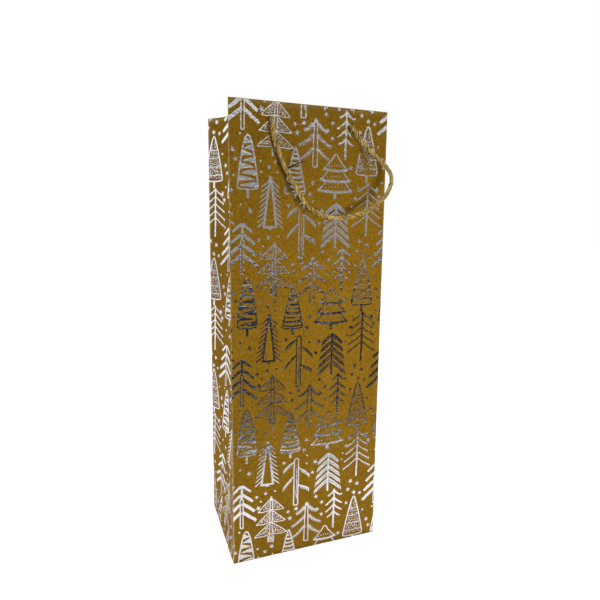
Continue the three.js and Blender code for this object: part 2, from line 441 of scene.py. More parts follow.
def apply_modifiers(piece: bpy.types.Object) -> None:
    """Makes the piece's shown mesh its own, and leaves no modifier on it."""
    shown = piece.evaluated_get(bpy.context.evaluated_depsgraph_get())
    piece.data = bpy.data.meshes.new_from_object(shown)
    piece.modifiers.clear()


def thicken(piece: bpy.types.Object, thickness: float) -> None:
    """Gives a sheet a wall that grows behind its outer face."""
    wall = piece.modifiers.new("wall", "SOLIDIFY")
    wall.thickness = thickness
    wall.offset = -1
    wall.use_rim = True


def pierce(piece: bpy.types.Object, centres: Sequence[Vector], radius: float) -> None:
    """Cuts round cord holes through a wall along Y and applies all modifiers.

    Args:
        piece: The sheet, with its wall.
        centres: The middle of each hole.
        radius: The holes' radius.
    """
    drill = bmesh.new()
    for centre in centres:
        place = Matrix.Translation(centre) @ Matrix.Rotation(math.pi / 2, 4, "X")
        bmesh.ops.create_cone(drill, cap_ends=True, segments=28, radius1=radius, radius2=radius,
                              depth=12 * MM, matrix=place)
    mesh = bpy.data.meshes.new("drill")
    drill.to_mesh(mesh)
    drill.free()
    cutter = bpy.data.objects.new("drill", mesh)
    bpy.context.scene.collection.objects.link(cutter)
    cut = piece.modifiers.new("cord_holes", "BOOLEAN")
    cut.operation = "DIFFERENCE"
    cut.solver = "EXACT"
    cut.object = cutter
    apply_modifiers(piece)
    bpy.data.objects.remove(cutter)


# ---- The folded sheet -------------------------------------------------------------------------


class Side(Enum):
    """A side of the bag, by the sign of its X."""

    LEFT = -1
    RIGHT = 1


class End(Enum):
    """The face that a gusset half hangs on."""

    FRONT = "front"
    REAR = "rear"


@dataclass(frozen=True)
class BagForm:
    """The folded tube: where its faces, edges and creases are at a height."""

    width: float
    depth: float
    height: float
    front_lean: float
    rear_lean: float
    foot: float = 44.5 * MM
    bow: float = 5 * MM
    fold_radius: float = 0.7 * MM
    rim_rise: float = 0.8 * MM
    rim_arc: float = 3.0 * MM
    turn_in: float = 39.0 * MM
    paper: float = 0.35 * MM
    ripple: float = 0.22 * MM

    @classmethod
    def from_frame(cls) -> "BagForm":
        """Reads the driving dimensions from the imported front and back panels."""
        sheet = 0.5 * MM
        low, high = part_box("front_panel")
        rear_low, rear_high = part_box("back_panel")
        return cls(high.x - low.x, rear_high.y - low.y, 360 * MM, high.y - low.y - sheet,
                   rear_high.y - rear_low.y - sheet)

    @property
    def half_depth(self) -> float:
        """The width of one gusset half."""
        return self.depth / 2

    @property
    def rim(self) -> float:
        """The height at which the paper starts to turn over the rim."""
        return self.height - self.rim_rise

    def front_y(self, h: np.ndarray) -> np.ndarray:
        """The front face leans back in a straight line from base to rim."""
        return -self.depth / 2 + self.front_lean * h / self.height

    def rear_y(self, h: np.ndarray) -> np.ndarray:
        """The back face leans forward in a straight line from base to rim."""
        return self.depth / 2 - self.rear_lean * h / self.height

    def tuck(self, h: np.ndarray) -> np.ndarray:
        """How far a gusset's crease is tucked in: each half keeps its width as the faces close."""
        gap = (self.rear_y(h) - self.front_y(h)) / 2
        return np.sqrt(np.maximum(self.half_depth**2 - gap**2, 0))

    def edge(self, side: Side, end: End, h: np.ndarray) -> np.ndarray:
        """A vertical edge of the bag."""
        y = self.front_y(h) if end is End.FRONT else self.rear_y(h)
        return np.stack([np.full_like(h, side.value * self.width / 2), y, h], -1)

    def crease(self, side: Side, h: np.ndarray) -> np.ndarray:
        """The upright crease in the middle of a gusset."""
        x = side.value * (self.width / 2 - self.tuck(h))
        return np.stack([x, (self.front_y(h) + self.rear_y(h)) / 2, h], -1)

    def inner(self, side: Side, end: End, h: np.ndarray) -> np.ndarray:
        """A gusset half's inner boundary: the foot's slanted crease, then the upright crease."""
        corner = self.edge(side, end, np.zeros_like(h))
        apex = self.crease(side, np.full_like(h, self.foot))
        slanted = corner + (apex - corner) * (h / self.foot)[..., None]
        return np.where((h >= self.foot)[..., None], self.crease(side, h), slanted)

    def gusset(self, side: Side, end: End, s: np.ndarray, h: np.ndarray) -> np.ndarray:
        """A gusset half's outer face: a straight chord from edge to crease, plus half a sine wave
        into the bag that grows from the foot to the rim.

        Args:
            side: The gusset.
            end: Which of its halves.
            s: 0 at the bag's edge, 1 at the crease.
            h: The height.

        Returns:
            The points.
        """
        edge, inner = self.edge(side, end, h), self.inner(side, end, h)
        rise = np.maximum(0, (h - self.foot) / (self.height - self.foot))
        bow = self.bow * np.sqrt(rise) * np.sin(np.pi * s)
        chord = unit(inner - edge)
        points = edge + (inner - edge) * s[..., None]
        points[..., 0] -= side.value * bow * np.abs(chord[..., 1])
        points[..., 1] += side.value * bow * chord[..., 0] * np.sign(chord[..., 1])
        return points


@dataclass
class Panel:
    """One part of the printed sheet, as a map from sheet coordinates to space.

    u runs anticlockwise round the bag seen from above, from the front left edge where the sheet is
    seamed back to that edge, and h runs up the sheet. Past the rim, h goes over the top and down the inside.
    """

    form: BagForm
    name: str
    nodes: tuple[str, ...] = ()
    turned_node: Optional[str] = None
    tuck_depth: float = 1.3 * MM
    mitres: tuple[float, float] = (4.5 * MM, 4.5 * MM)

    def limits(self, h: np.ndarray) -> tuple[np.ndarray, np.ndarray]:
        """The lowest and highest u of the panel at a height."""
        raise NotImplementedError

    def flat(self, u: np.ndarray, h: np.ndarray) -> np.ndarray:
        """The outer face without its rounded folds."""
        raise NotImplementedError

    def neighbours(self, h: np.ndarray) -> tuple[np.ndarray, np.ndarray]:
        """The level directions in which the sheet goes on past the low and the high fold."""
        raise NotImplementedError

    def outward(self, u: np.ndarray, h: np.ndarray) -> np.ndarray:
        """The unit normal, from the slopes along u and h by small central steps."""
        step = 0.02 * MM
        low, high = self.limits(h)
        across = self.flat(np.minimum(u + step, high), h) - self.flat(np.maximum(u - step, low), h)
        lower, upper = h - step, h + step
        up = self.flat(self.held(u, upper), upper) - self.flat(self.held(u, lower), lower)
        return unit(np.cross(across, up))

    def held(self, u: np.ndarray, h: np.ndarray) -> np.ndarray:
        """u kept between the panel's limits at a height."""
        low, high = self.limits(h)
        return np.clip(u, low, high)

    def face(self, u: np.ndarray, h: np.ndarray) -> np.ndarray:
        """The outer face with each fold rounded as half of a quadratic Bezier curve.

        At a distance d under the radius r from a fold, with t = (1 - d / r) / 2, the point is
        E + r ((1 - t)^2 a + t^2 b): a points along this panel and b along its neighbour.
        """
        points = self.flat(u, h)
        low, high = self.limits(h)
        radius = np.minimum(self.form.fold_radius, 0.3 * (high - low))
        step = np.minimum(0.05 * MM, 0.25 * (high - low))
        for fold, along, beyond in zip((low, high), (step, -step), self.neighbours(h)):
            edge = self.flat(fold, h)
            inwards = unit(self.flat(fold + along, h) - edge)
            distance = np.linalg.norm(points - edge, axis=-1)
            t = np.clip((1 - distance / np.maximum(radius, 1e-9)) / 2, 0, 0.5)
            curve = ((1 - t) ** 2)[..., None] * inwards + (t**2)[..., None] * beyond
            rounded = edge + radius[..., None] * curve
            points = np.where((t > 0)[..., None], rounded, points)
        return points

    def point(self, u: np.ndarray, h: np.ndarray, lift: float = 0.0) -> np.ndarray:
        """A point of the sheet, over the rim and down the inside too.

        Past the rim the section is half an ellipse whose width is the turned-in layer's depth, and
        then a straight drop; the mitres narrow the layer as it goes in.

        Args:
            u: Place across the sheet.
            h: Place up the sheet.
            lift: Height above the printed side.

        Returns:
            The points.
        """
        form = self.form
        over = np.maximum(h - form.rim, 0)
        angle = np.pi * np.clip(over / form.rim_arc, 0, 1)
        level = np.minimum(h, form.rim) - np.maximum(over - form.rim_arc, 0)
        inset = (1 - np.cos(angle)) / 2
        low, high = self.limits(level)
        keep = 1 - inset * sum(self.mitres) / np.maximum(high - low, 1e-9)
        u = low + inset * self.mitres[0] + (self.held(u, level) - low) * keep
        normal = self.outward(u, level)
        rise = form.rim_rise * np.sin(angle)
        upward = np.array([0.0, 0.0, 1.0])
        points = self.face(u, level) + rise[..., None] * upward
        points += normal * (self.ripple(u, level) - self.tuck_depth * inset)[..., None]
        lifted = normal * np.cos(angle)[..., None] + upward * np.sin(angle)[..., None]
        return points + lift * lifted

    def ripple(self, u: np.ndarray, h: np.ndarray) -> np.ndarray:
        """Slow waves in the sheet that die out towards its folds: products of sines."""
        low, high = self.limits(h)
        share = np.clip((u - low) / np.maximum(high - low, 1e-9), 0, 1)
        window = 4 * share * (1 - share) * np.clip(h / (20 * MM), 0, 1)
        waves = np.sin(61 * u + 0.7) * np.sin(23 * h + 1.1) + 0.5 * np.sin(97 * u - 38 * h)
        return self.form.ripple * window * waves

    def rows(self) -> np.ndarray:
        """Heights of the sheet's rows, from the base to the rim's fold."""
        return np.linspace(0, self.form.rim, 91)

    def columns(self) -> np.ndarray:
        """Shares of the width: close together at both folds, even between them."""
        folded = self.form.fold_radius * np.linspace(0, 1, 5)[:-1] / self.form.half_depth
        between = np.linspace(self.form.fold_radius / self.form.half_depth, 0.5, 22)
        half = np.concatenate([folded, between])
        return np.concatenate([half, 1 - half[-2::-1]])

    def shape(self, rows: np.ndarray) -> Shape:
        """The grid of the sheet over some rows, with a mask at its folds and rim for worn paper and a
        painted highlight line.
        """
        share, h = np.meshgrid(self.columns(), rows)
        low, high = self.limits(np.minimum(h, self.form.rim))
        u = low + share * (high - low)
        edge = np.minimum(u - low, high - u)
        rim = np.abs(h - self.form.rim - self.form.rim_arc / 2)
        # 1 at each fold and at the rim's bend: worn paper and a painted highlight line.
        wear_and_highlight = np.exp(-((edge / (0.7 * MM)) ** 2)) + np.exp(-((rim / (1.2 * MM)) ** 2))
        places = np.stack([u, h], -1).reshape(-1, 2)
        faces = [grid_faces(*u.shape)]
        return Shape(self.point(u, h).reshape(-1, 3), faces, places, np.clip(wear_and_highlight, 0, 1).ravel())

    def cuts(self) -> list[tuple[Colour, float]]:
        """Lines (nu, nh, c) along nu u + nh h = c where the print must bend with the sheet."""
        form = self.form
        heights = [form.rim + share * form.rim_arc for share in (0, 0.25, 0.5, 0.75, 1)]
        return [((0.0, 1.0), height) for height in heights]


@dataclass
class FacePanel(Panel):
    """The front or the back of the bag, a flat leaning rectangle."""

    end: End = End.FRONT

    def start(self) -> float:
        """The lowest u of the panel."""
        return 0.0 if self.end is End.FRONT else self.form.width + self.form.depth

    def limits(self, h: np.ndarray) -> tuple[np.ndarray, np.ndarray]:
        """Two upright folds."""
        low = np.full_like(h, self.start())
        return low, low + self.form.width

    def flat(self, u: np.ndarray, h: np.ndarray) -> np.ndarray:
        """Across the face, which leans in a straight line."""
        along = u - self.start() - self.form.width / 2
        if self.end is End.FRONT:
            return np.stack([along, self.form.front_y(h), h], -1)
        return np.stack([-along, self.form.rear_y(h), h], -1)

    def neighbours(self, h: np.ndarray) -> tuple[np.ndarray, np.ndarray]:
        """The gusset halves at both edges."""
        order = (Side.LEFT, Side.RIGHT) if self.end is End.FRONT else (Side.RIGHT, Side.LEFT)
        near = np.full_like(h, 0.02)
        level = np.maximum(h, 1 * MM)
        first, second = (
            unit(self.form.gusset(side, self.end, near, level) - self.form.edge(side, self.end, level))
            for side in order
        )
        return first, second

    def cuts(self) -> list[tuple[Colour, float]]:
        """The rounded folds and the rim."""
        low, high, radius = self.start(), self.start() + self.form.width, self.form.fold_radius
        places = [low + radius / 2, low + radius, high - radius, high - radius / 2]
        return super().cuts() + [((1.0, 0.0), place) for place in places]


@dataclass
class GussetPanel(Panel):
    """A part of a tucked side, between the bag's edges."""

    side: Side = Side.LEFT

    def start(self) -> float:
        """The lowest u of the whole gusset."""
        form = self.form
        return 2 * form.width + form.depth if self.side is Side.LEFT else form.width

    def share(self, h: np.ndarray) -> np.ndarray:
        """How much of its full width a half has at a height: all of it above the foot."""
        return np.clip(h / self.form.foot, 0, 1)

    def columns(self) -> np.ndarray:
        """Fewer columns than a face has."""
        fine = self.form.fold_radius * np.linspace(0, 1, 5)[:-1] / self.form.half_depth
        even = np.linspace(self.form.fold_radius / self.form.half_depth, 0.5, 10)
        half = np.concatenate([fine, even])
        return np.concatenate([half, 1 - half[-2::-1]])

    def rows(self) -> np.ndarray:
        """Rows that meet the foot's apex."""
        upper = np.linspace(self.form.foot, self.form.rim, 70)
        return np.concatenate([np.linspace(0, self.form.foot, 14)[:-1], upper])


@dataclass
class GussetHalf(GussetPanel):
    """The half of a gusset that hangs on the front or on the back face."""

    end: End = End.FRONT

    def low_is_edge(self) -> bool:
        """Whether the lowest u is the bag's vertical edge."""
        return (self.side is Side.LEFT) == (self.end is End.REAR)

    def limits(self, h: np.ndarray) -> tuple[np.ndarray, np.ndarray]:
        """From the bag's edge to the crease, or the other way round."""
        width = self.form.half_depth * self.share(h)
        if self.low_is_edge():
            low = np.full_like(h, self.start())
            return low, low + width
        high = np.full_like(h, self.start() + self.form.depth)
        return high - width, high

    def flat(self, u: np.ndarray, h: np.ndarray) -> np.ndarray:
        """The bowed half, by its share of the way from the edge to the crease."""
        width = self.form.half_depth * np.maximum(self.share(h), 1e-6)
        edge = self.start() if self.low_is_edge() else self.start() + self.form.depth
        s = np.clip(np.abs(u - edge) / width, 0, 1)
        return self.form.gusset(self.side, self.end, s, h)

    def neighbours(self, h: np.ndarray) -> tuple[np.ndarray, np.ndarray]:
        """The face at the bag's edge, and the other half or the foot at the crease."""
        face = np.zeros(h.shape + (3,))
        face[..., 0] = -self.side.value
        other = End.REAR if self.end is End.FRONT else End.FRONT
        near = np.full_like(h, 0.98)
        level = np.maximum(h, self.form.foot)
        crease = self.form.crease(self.side, level)
        half = unit(self.form.gusset(self.side, other, near, level) - crease)
        foot = np.zeros_like(face)
        foot[..., 1] = 1 if self.end is End.FRONT else -1
        inner = np.where((h >= self.form.foot)[..., None], half, foot)
        return (face, inner) if self.low_is_edge() else (inner, face)

    def cuts(self) -> list[tuple[Colour, float]]:
        """Narrow strips across the bow, longer ones up the sheet."""
        form = self.form
        low = self.start() if self.low_is_edge() else self.start() + form.half_depth
        strips = low + form.half_depth * np.linspace(0, 1, 13)[1:-1]
        radius = form.fold_radius
        folds = [low + radius / 2, low + radius]
        folds += [low + form.half_depth - radius, low + form.half_depth - radius / 2]
        rows = np.linspace(form.foot, form.rim, 22)[:-1]
        cuts = super().cuts() + [((0.0, 1.0), row) for row in rows]
        return cuts + [((1.0, 0.0), place) for place in [*strips, *folds]]


@dataclass
class GussetFoot(GussetPanel):
    """The flat triangle at the foot of a gusset."""

    def limits(self, h: np.ndarray) -> tuple[np.ndarray, np.ndarray]:
        """Two slanted creases that meet at the apex."""
        taken = self.form.half_depth * self.share(h)
        low = self.start() + taken
        return low, self.start() + self.form.depth - taken

    def flat(self, u: np.ndarray, h: np.ndarray) -> np.ndarray:
        """Straight across from one slanted crease to the other."""
        low, high = self.limits(h)
        order = (End.REAR, End.FRONT) if self.side is Side.LEFT else (End.FRONT, End.REAR)
        first, second = (self.form.inner(self.side, end, np.minimum(h, self.form.foot))
                         for end in order)
        share = np.clip((u - low) / np.maximum(high - low, 1e-9), 0, 1)
        return first + (second - first) * share[..., None]

    def neighbours(self, h: np.ndarray) -> tuple[np.ndarray, np.ndarray]:
        """The gusset halves past both creases, towards the bag's edges."""
        level = np.clip(h, 1 * MM, self.form.foot)
        order = (End.REAR, End.FRONT) if self.side is Side.LEFT else (End.FRONT, End.REAR)
        first, second = (
            unit(self.form.edge(self.side, end, level) - self.form.inner(self.side, end, level))
            for end in order
        )
        return first, second

    def rows(self) -> np.ndarray:
        """From the base to the apex."""
        return np.linspace(0, self.form.foot, 22)

    def cuts(self) -> list[tuple[Colour, float]]:
        """None: the triangle is flat."""
        return []


# ---- The print: strokes of foil in the plane of the sheet, in millimetres -----------------------


def arc_path(start: Sequence[float], stop: Sequence[float], sag: float, count: int = 7) -> np.ndarray:
    """A parabola from start to stop that bulges by sag to the right of its direction."""
    start, stop = np.asarray(start, float), np.asarray(stop, float)
    t = np.linspace(0, 1, count)[:, None]
    along = stop - start
    right = np.array([along[1], -along[0]]) / max(float(np.hypot(*along)), 1e-9)
    return start + along * t + right * (4 * sag * t * (1 - t))


class Ink:
    """Overlapping cells of foil that end up as one flat triangle mesh."""

    def __init__(self, seed: int, spread: float = 0.14) -> None:
        """Starts with no cells, its own random numbers and how far foil spreads past a line."""
        self.rng = np.random.default_rng(seed)
        self.spread = spread
        self.cells: list[np.ndarray] = []

    def stroke(self, path: Sequence[Sequence[float]], width: float, end: float = 1.0,
               wobble: float = 0.10) -> None:
        """Draws a line of even or tapering width as a strip of quads.

        Args:
            path: Its middle line.
            width: Its width at the start.
            end: Its width at the far end, as a share.
            wobble: How unsteady the hand is.
        """
        path = np.asarray(path, float)
        path = path + self.rng.normal(0, wobble, path.shape)
        tangent = unit(np.gradient(path, axis=0))
        normal = np.stack([-tangent[:, 1], tangent[:, 0]], -1)
        half = (np.linspace(width, width * end, len(path)) + self.spread) / 2
        half *= self.rng.uniform(0.88, 1.12, len(path))
        left, right = path + normal * half[:, None], path - normal * half[:, None]
        self.cells.extend(np.stack([right[:-1], right[1:], left[1:], left[:-1]], 1))

    def loop(self, corners: Sequence[Sequence[float]], width: float) -> None:
        """Draws the sides of a polygon, each running a little past its corners."""
        corners = np.asarray(corners, float)
        for start, stop in zip(corners, np.roll(corners, -1, axis=0)):
            past = unit(stop - start) * width * 0.4
            self.stroke(arc_path(start - past, stop + past, self.rng.normal(0, 0.15), 5), width,
                        wobble=0.05)

    def blot(self, centre: Sequence[float], radius: float, sides: int = 9) -> None:
        """Fills an uneven dot."""
        turn = np.arange(sides) * 2 * np.pi / sides
        reach = radius * self.rng.uniform(0.85, 1.12, sides)
        self.cells.append(np.asarray(centre) + np.stack([np.cos(turn), np.sin(turn)], -1) * reach[:, None])

    def star(self, centre: Sequence[float], radius: float) -> None:
        """Fills a five-pointed star, turned and stretched a little."""
        turn = self.rng.uniform(0, 2 * np.pi) + np.arange(10) * np.pi / 5
        reach = radius * np.where(np.arange(10) % 2, 0.38, 1) * self.rng.uniform(0.88, 1.12, 10)
        self.cells.append(np.asarray(centre) + np.stack([np.cos(turn), np.sin(turn)], -1) * reach[:, None])

    def speckle(self, outline: Sequence[Sequence[float]], pitch: float, length: float,
                width: float) -> None:
        """Fills a polygon with short scratches at all angles, on a jittered grid."""
        outline = np.asarray(outline, float)
        low, high = outline.min(0), outline.max(0)
        columns, rows = (np.maximum((high - low) / pitch, 1)).astype(int) + 1
        grid = np.stack(np.meshgrid(np.arange(columns), np.arange(rows)), -1).reshape(-1, 2)
        centres = low + (grid + self.rng.uniform(0, 1, grid.shape)) * pitch
        for centre in centres[inside(outline, centres)]:
            angle = self.rng.uniform(0, np.pi)
            reach = np.array([np.cos(angle), np.sin(angle)]) * length * self.rng.uniform(0.3, 0.65)
            self.stroke([centre - reach, centre, centre + reach], width, wobble=0.12)

    def triangles(self) -> np.ndarray:
        """The union of the cells, as anticlockwise triangles of shape (n, 3, 2)."""
        points = np.concatenate(self.cells)
        ends = np.cumsum([len(cell) for cell in self.cells])
        faces = [list(range(end - len(cell), end)) for cell, end in zip(self.cells, ends)]
        vertices, _, made, _, _, origins = delaunay_2d_cdt(
            [Vector(point) for point in points], [], faces, 0, 1e-4, True)
        corners = [face for face, origin in zip(made, origins) if origin]
        plane = np.array([tuple(vertex) for vertex in vertices])[np.array(corners)]
        area = np.cross(plane[:, 1] - plane[:, 0], plane[:, 2] - plane[:, 0])
        plane[area < 0] = plane[area < 0][:, ::-1]
        return plane[np.abs(area) > 1e-5]


def inside(outline: np.ndarray, points: np.ndarray) -> np.ndarray:
    """Which points lie in a polygon: those with an odd number of its sides to their right."""
    x, y = points[:, 0, None], points[:, 1, None]
    x0, y0 = outline.T
    x1, y1 = np.roll(outline, -1, axis=0).T
    spans = (y0 > y) != (y1 > y)
    rise = np.where(y1 == y0, 1e-9, y1 - y0)
    crossing = x0 + (y - y0) / rise * (x1 - x0)
    return (spans & (x < crossing)).sum(1) % 2 == 1


@dataclass(frozen=True)
class Tree:
    """A tree of the print: where its trunk stands, its height and its half width."""

    x: float
    z: float
    height: float
    reach: float

    def draw(self, ink: Ink) -> None:
        """Draws the tree."""
        raise NotImplementedError

    def at(self, across: float, up: float) -> tuple[float, float]:
        """A point from the foot of the trunk."""
        return self.x + across, self.z + up

    def covers(self, points: np.ndarray, margin: float) -> np.ndarray:
        """Which points lie in the tree's triangular outline, widened by a margin."""
        across, up = np.abs(points[:, 0] - self.x), points[:, 1] - self.z
        width = self.reach * np.clip(1.30 - up / self.height, 0, 1) + margin
        return (across < width) & (up > -margin) & (up < self.height + margin)


@dataclass(frozen=True)
class BarTree(Tree):
    """Broad plain bars that fall away in pairs from a slim outlined trunk."""

    pairs: int = 4
    pitch: float = 7.5

    def draw(self, ink: Ink) -> None:
        """Bars of growing length and width, then the trunk's two lines."""
        for k in range(self.pairs):
            start = self.height - 0.6 - self.pitch * k
            width = 2.0 + 0.3 * min(k, 2)
            for side in (-1, 1):
                reach = self.reach * (0.62 + 0.13 * k)
                path = arc_path(self.at(side * 0.6, start), self.at(side * reach, start - reach * 0.78),
                                -side * 0.1)
                ink.stroke(path, width, 0.85)
        for side in (-1, 1):
            ink.stroke([self.at(side * 1.2, up) for up in np.linspace(0, self.height - 12, 6)], 0.7)
        leader = [self.at(0, self.height - below) for below in (12.5, 5, 0)]
        ink.stroke(leader, 1.5)
        ink.stroke([self.at(-1.4, 0), self.at(0, -0.2), self.at(1.4, 0)], 0.8)


@dataclass(frozen=True)
class TierTree(Tree):
    """Stacked triangles full of scratches, a plain trunk through them, striped at the foot."""

    tiers: int = 3

    def draw(self, ink: Ink) -> None:
        """Each tier is wider than the one above, with a sagging base."""
        pitch = (self.height - 8) / self.tiers
        for k in range(self.tiers):
            base = self.height - 3 - pitch * (k + 1) + 1.5
            half = self.reach * (0.78 + 0.11 * k)
            top, left, right = self.at(0, base + pitch), self.at(-half, base), self.at(half, base)
            ink.stroke(arc_path(top, left, 0.4), 0.65)
            ink.stroke(arc_path(top, right, -0.4), 0.65)
            for corner, sag in ((left, 0.5), (right, -0.5)):
                ink.stroke(arc_path(corner, self.at(0, base + 0.6), sag), 0.65)
            for side in (-1, 1):
                body = [self.at(side * 1.6, base + 1.2), self.at(side * (half - 2.2), base + 0.9),
                        self.at(side * 1.6, base + pitch - 2)]
                ink.speckle(body, 1.25, 1.3, 0.34)
        for side in (-1, 1):
            ink.stroke([self.at(side * 1.0, up) for up in np.linspace(5, self.height - 2, 8)], 0.7)
            ink.stroke([self.at(side * 2.3, up) for up in np.linspace(0, 5.4, 3)], 0.9)
        ink.stroke([self.at(0, self.height - 4), self.at(0, self.height)], 1.2)
        for up in np.linspace(-0.6, 3.6, 4):
            ink.stroke([self.at(-2.2, up + 1.6), self.at(0, up + 0.9), self.at(2.2, up)], 0.7)


@dataclass(frozen=True)
class FeatherTree(Tree):
    """A two-line trunk with three pairs of soft branches made of hairs."""

    def draw(self, ink: Ink) -> None:
        """Each branch is a rib with hairs on both of its sides."""
        for start, reach, drop in ((0.90, 0.70, 5.5), (0.66, 1.0, 8.0), (0.40, 0.92, 8.5)):
            for side in (-1, 1):
                root = self.at(side * 1.4, self.height * start)
                tip = self.at(side * self.reach * reach, self.height * start - drop)
                self.branch(ink, arc_path(root, tip, side * 0.8, 10))
        for side in (-1, 1):
            ink.stroke([self.at(side * (1.9 - 0.9 * up / self.height), up)
                        for up in np.linspace(0, self.height - 1, 8)], 0.75)
        ink.stroke([self.at(-2.0, 0), self.at(0, -0.2), self.at(2.0, 0)], 0.8)
        ink.stroke([self.at(0, self.height - 3), self.at(0, self.height)], 1.3)

    @staticmethod
    def branch(ink: Ink, rib: np.ndarray) -> None:
        """A rib with slanted hairs, shorter towards the tip."""
        ink.stroke(rib, 0.75, 0.7)
        along = unit(np.gradient(rib, axis=0))
        across = np.stack([-along[:, 1], along[:, 0]], -1)
        for k, point in enumerate(rib):
            length = 2.3 * (1 - 0.35 * k / len(rib))
            for way in (-1, 1):
                tip = point + along[k] * length * 0.6 + across[k] * way * length * 0.85
                ink.stroke([point, (point + tip) / 2, tip], 0.32, 0.6, 0.06)


@dataclass(frozen=True)
class ThinTree(Tree):
    """A plain trunk with pairs of short tapering branches."""

    pairs: int = 4
    pitch: float = 6.4

    def draw(self, ink: Ink) -> None:
        """Branches that fall by as much as they reach out."""
        ink.stroke([self.at(0, up) for up in np.linspace(0, self.height, 8)], 1.6, 0.7)
        for k in range(self.pairs):
            start = self.height - 1.5 - self.pitch * k
            reach = self.reach * (0.75, 1.0, 1.0, 0.8)[k]
            for side in (-1, 1):
                path = arc_path(self.at(0, start), self.at(side * reach, start - reach * 0.82), side * 0.3)
                ink.stroke(path, 1.5, 0.75)


class ConeFill(Enum):
    """What a cone-shaped tree is filled with."""

    WEDGES = "wedges"
    STRIPES = "stripes"
    GRAIN = "grain"


@dataclass(frozen=True)
class ConeTree(Tree):
    """An outlined cone on a short trunk; bluntness is the power of its width's growth."""

    fill: ConeFill = ConeFill.GRAIN
    bluntness: float = 0.8
    trunk: float = 6.0
    corner: float = 2.4

    def half_width(self, share: float) -> float:
        """The cone's half width at a share of the way down from its tip, round at its corners."""
        below = 1 - (1 - share) * (self.height - self.trunk) / self.corner
        rounding = self.corner * (1 - math.sqrt(1 - min(1.0, max(0.0, below)) ** 2))
        return self.reach * share**self.bluntness - rounding

    def draw(self, ink: Ink) -> None:
        """The outline as two sides and a level base, then the fill."""
        cone = self.height - self.trunk
        bend = 1 - self.corner / cone * (1 - np.sin(np.linspace(0, np.pi / 2, 6)))
        shares = np.concatenate([np.linspace(0, 0.16, 5), np.linspace(0.26, bend[0], 11)[:-1], bend])
        for side in (-1, 1):
            path = [self.at(side * self.half_width(s), self.height - cone * s) for s in shares]
            ink.stroke(path, 1.0, wobble=0.05)
        foot = self.half_width(1)
        ink.stroke(arc_path(self.at(-foot, self.trunk), self.at(foot, self.trunk), 0.3), 1.0)
        ink.stroke([self.at(0, 0), self.at(0.1, self.trunk / 2), self.at(0, self.trunk)], 2.0, 0.9)
        fills = {ConeFill.WEDGES: self.wedges, ConeFill.STRIPES: self.stripes, ConeFill.GRAIN: self.grain}
        fills[self.fill](ink, cone)

    def wedges(self, ink: Ink, cone: float) -> None:
        """Solid wedges that start from alternate sides, with slits in them."""
        for k, share in enumerate(np.linspace(0.12, 0.92, 8)):
            side = 1 if k % 2 else -1
            half, up = self.half_width(share), self.height - cone * share
            path = arc_path(self.at(side * half, up), self.at(-side * half * 0.75, up - 0.9), side * 0.4)
            ink.stroke(path, 4.3, 0.12)

    def stripes(self, ink: Ink, cone: float) -> None:
        """Sagging stripes, a broad one after each fine one."""
        for k, share in enumerate(np.linspace(0.14, 0.94, 9)):
            half, up = self.half_width(share) * 0.96, self.height - cone * share
            path = arc_path(self.at(-half, up + 0.5), self.at(half, up + 0.5), 0.9)
            ink.stroke(path, 1.6 if k % 2 else 1.1)

    def grain(self, ink: Ink, cone: float) -> None:
        """Scratches between faint level stripes."""
        shares = np.linspace(0.12, 0.95, 26)
        left = [self.at(-self.half_width(s) * 0.9, self.height - cone * s) for s in shares]
        right = [self.at(self.half_width(s) * 0.9, self.height - cone * s) for s in shares[::-1]]
        ink.speckle(left + right, 1.5, 1.4, 0.28)
        for share in np.linspace(0.3, 0.86, 4):
            half, up = self.half_width(share) * 0.92, self.height - cone * share
            ink.stroke(arc_path(self.at(-half, up), self.at(half, up), 0.4, 9), 0.3)


@dataclass(frozen=True)
class NeedleTree(Tree):
    """A tall open triangle with slanting needles down both sides."""

    def draw(self, ink: Ink) -> None:
        """The triangle, nine needles a side and a stub of a trunk."""
        half, base = self.reach * 0.44, 1.8
        ink.loop([self.at(-half, base), self.at(half, base), self.at(0.3, self.height - 1),
                  self.at(-0.3, self.height - 1)], 1.5)
        ink.stroke([self.at(0, -0.3), self.at(0, base)], 2.2, 1.1)
        ink.stroke([self.at(0, self.height - 6), self.at(0, self.height)], 1.8, 0.6)
        for up in np.linspace(self.height * 0.93, self.height * 0.16, 9):
            root = half * (1 - up / self.height) + 0.5
            for side in (-1, 1):
                tip = self.at(side * (root + self.reach * 0.52), up - self.reach * 0.46)
                ink.stroke(arc_path(self.at(side * root, up), tip, side * 0.25, 4), 0.85, 0.75)


@dataclass(frozen=True)
class BareTree(Tree):
    """A stump of two lines with four bare boughs and a few hairs under them."""

    def draw(self, ink: Ink) -> None:
        """Trunk, cap and boughs at uneven heights."""
        for side in (-1, 1):
            ink.stroke([self.at(side * 1.9, up) for up in np.linspace(0, self.height - 1, 8)], 0.9)
        ink.stroke(arc_path(self.at(-1.9, self.height - 1), self.at(1.9, self.height - 1), -0.9), 0.9)
        ink.stroke([self.at(-1.9, 0), self.at(1.9, 0)], 0.9)
        ink.stroke([self.at(0.4, up) for up in np.linspace(6, self.height - 8, 6)], 0.5, 0.6, 0.25)
        for side, start, reach, drop in ((-1, 0.93, 0.95, 6.5), (1, 0.79, 1.0, 7.5), (-1, 0.62, 0.95, 9.0),
                                         (1, 0.42, 1.0, 4.6)):
            root = self.at(side * 1.9, self.height * start)
            tip = self.at(side * self.reach * reach, self.height * start - drop)
            bough = arc_path(root, tip, -side * 0.5, 11)
            ink.stroke(bough, 1.1)
            for point in bough[2:]:
                ink.stroke([point, point + (side * 0.25, -1.4), point + (side * 0.3, -2.8)], 0.45, 0.6)


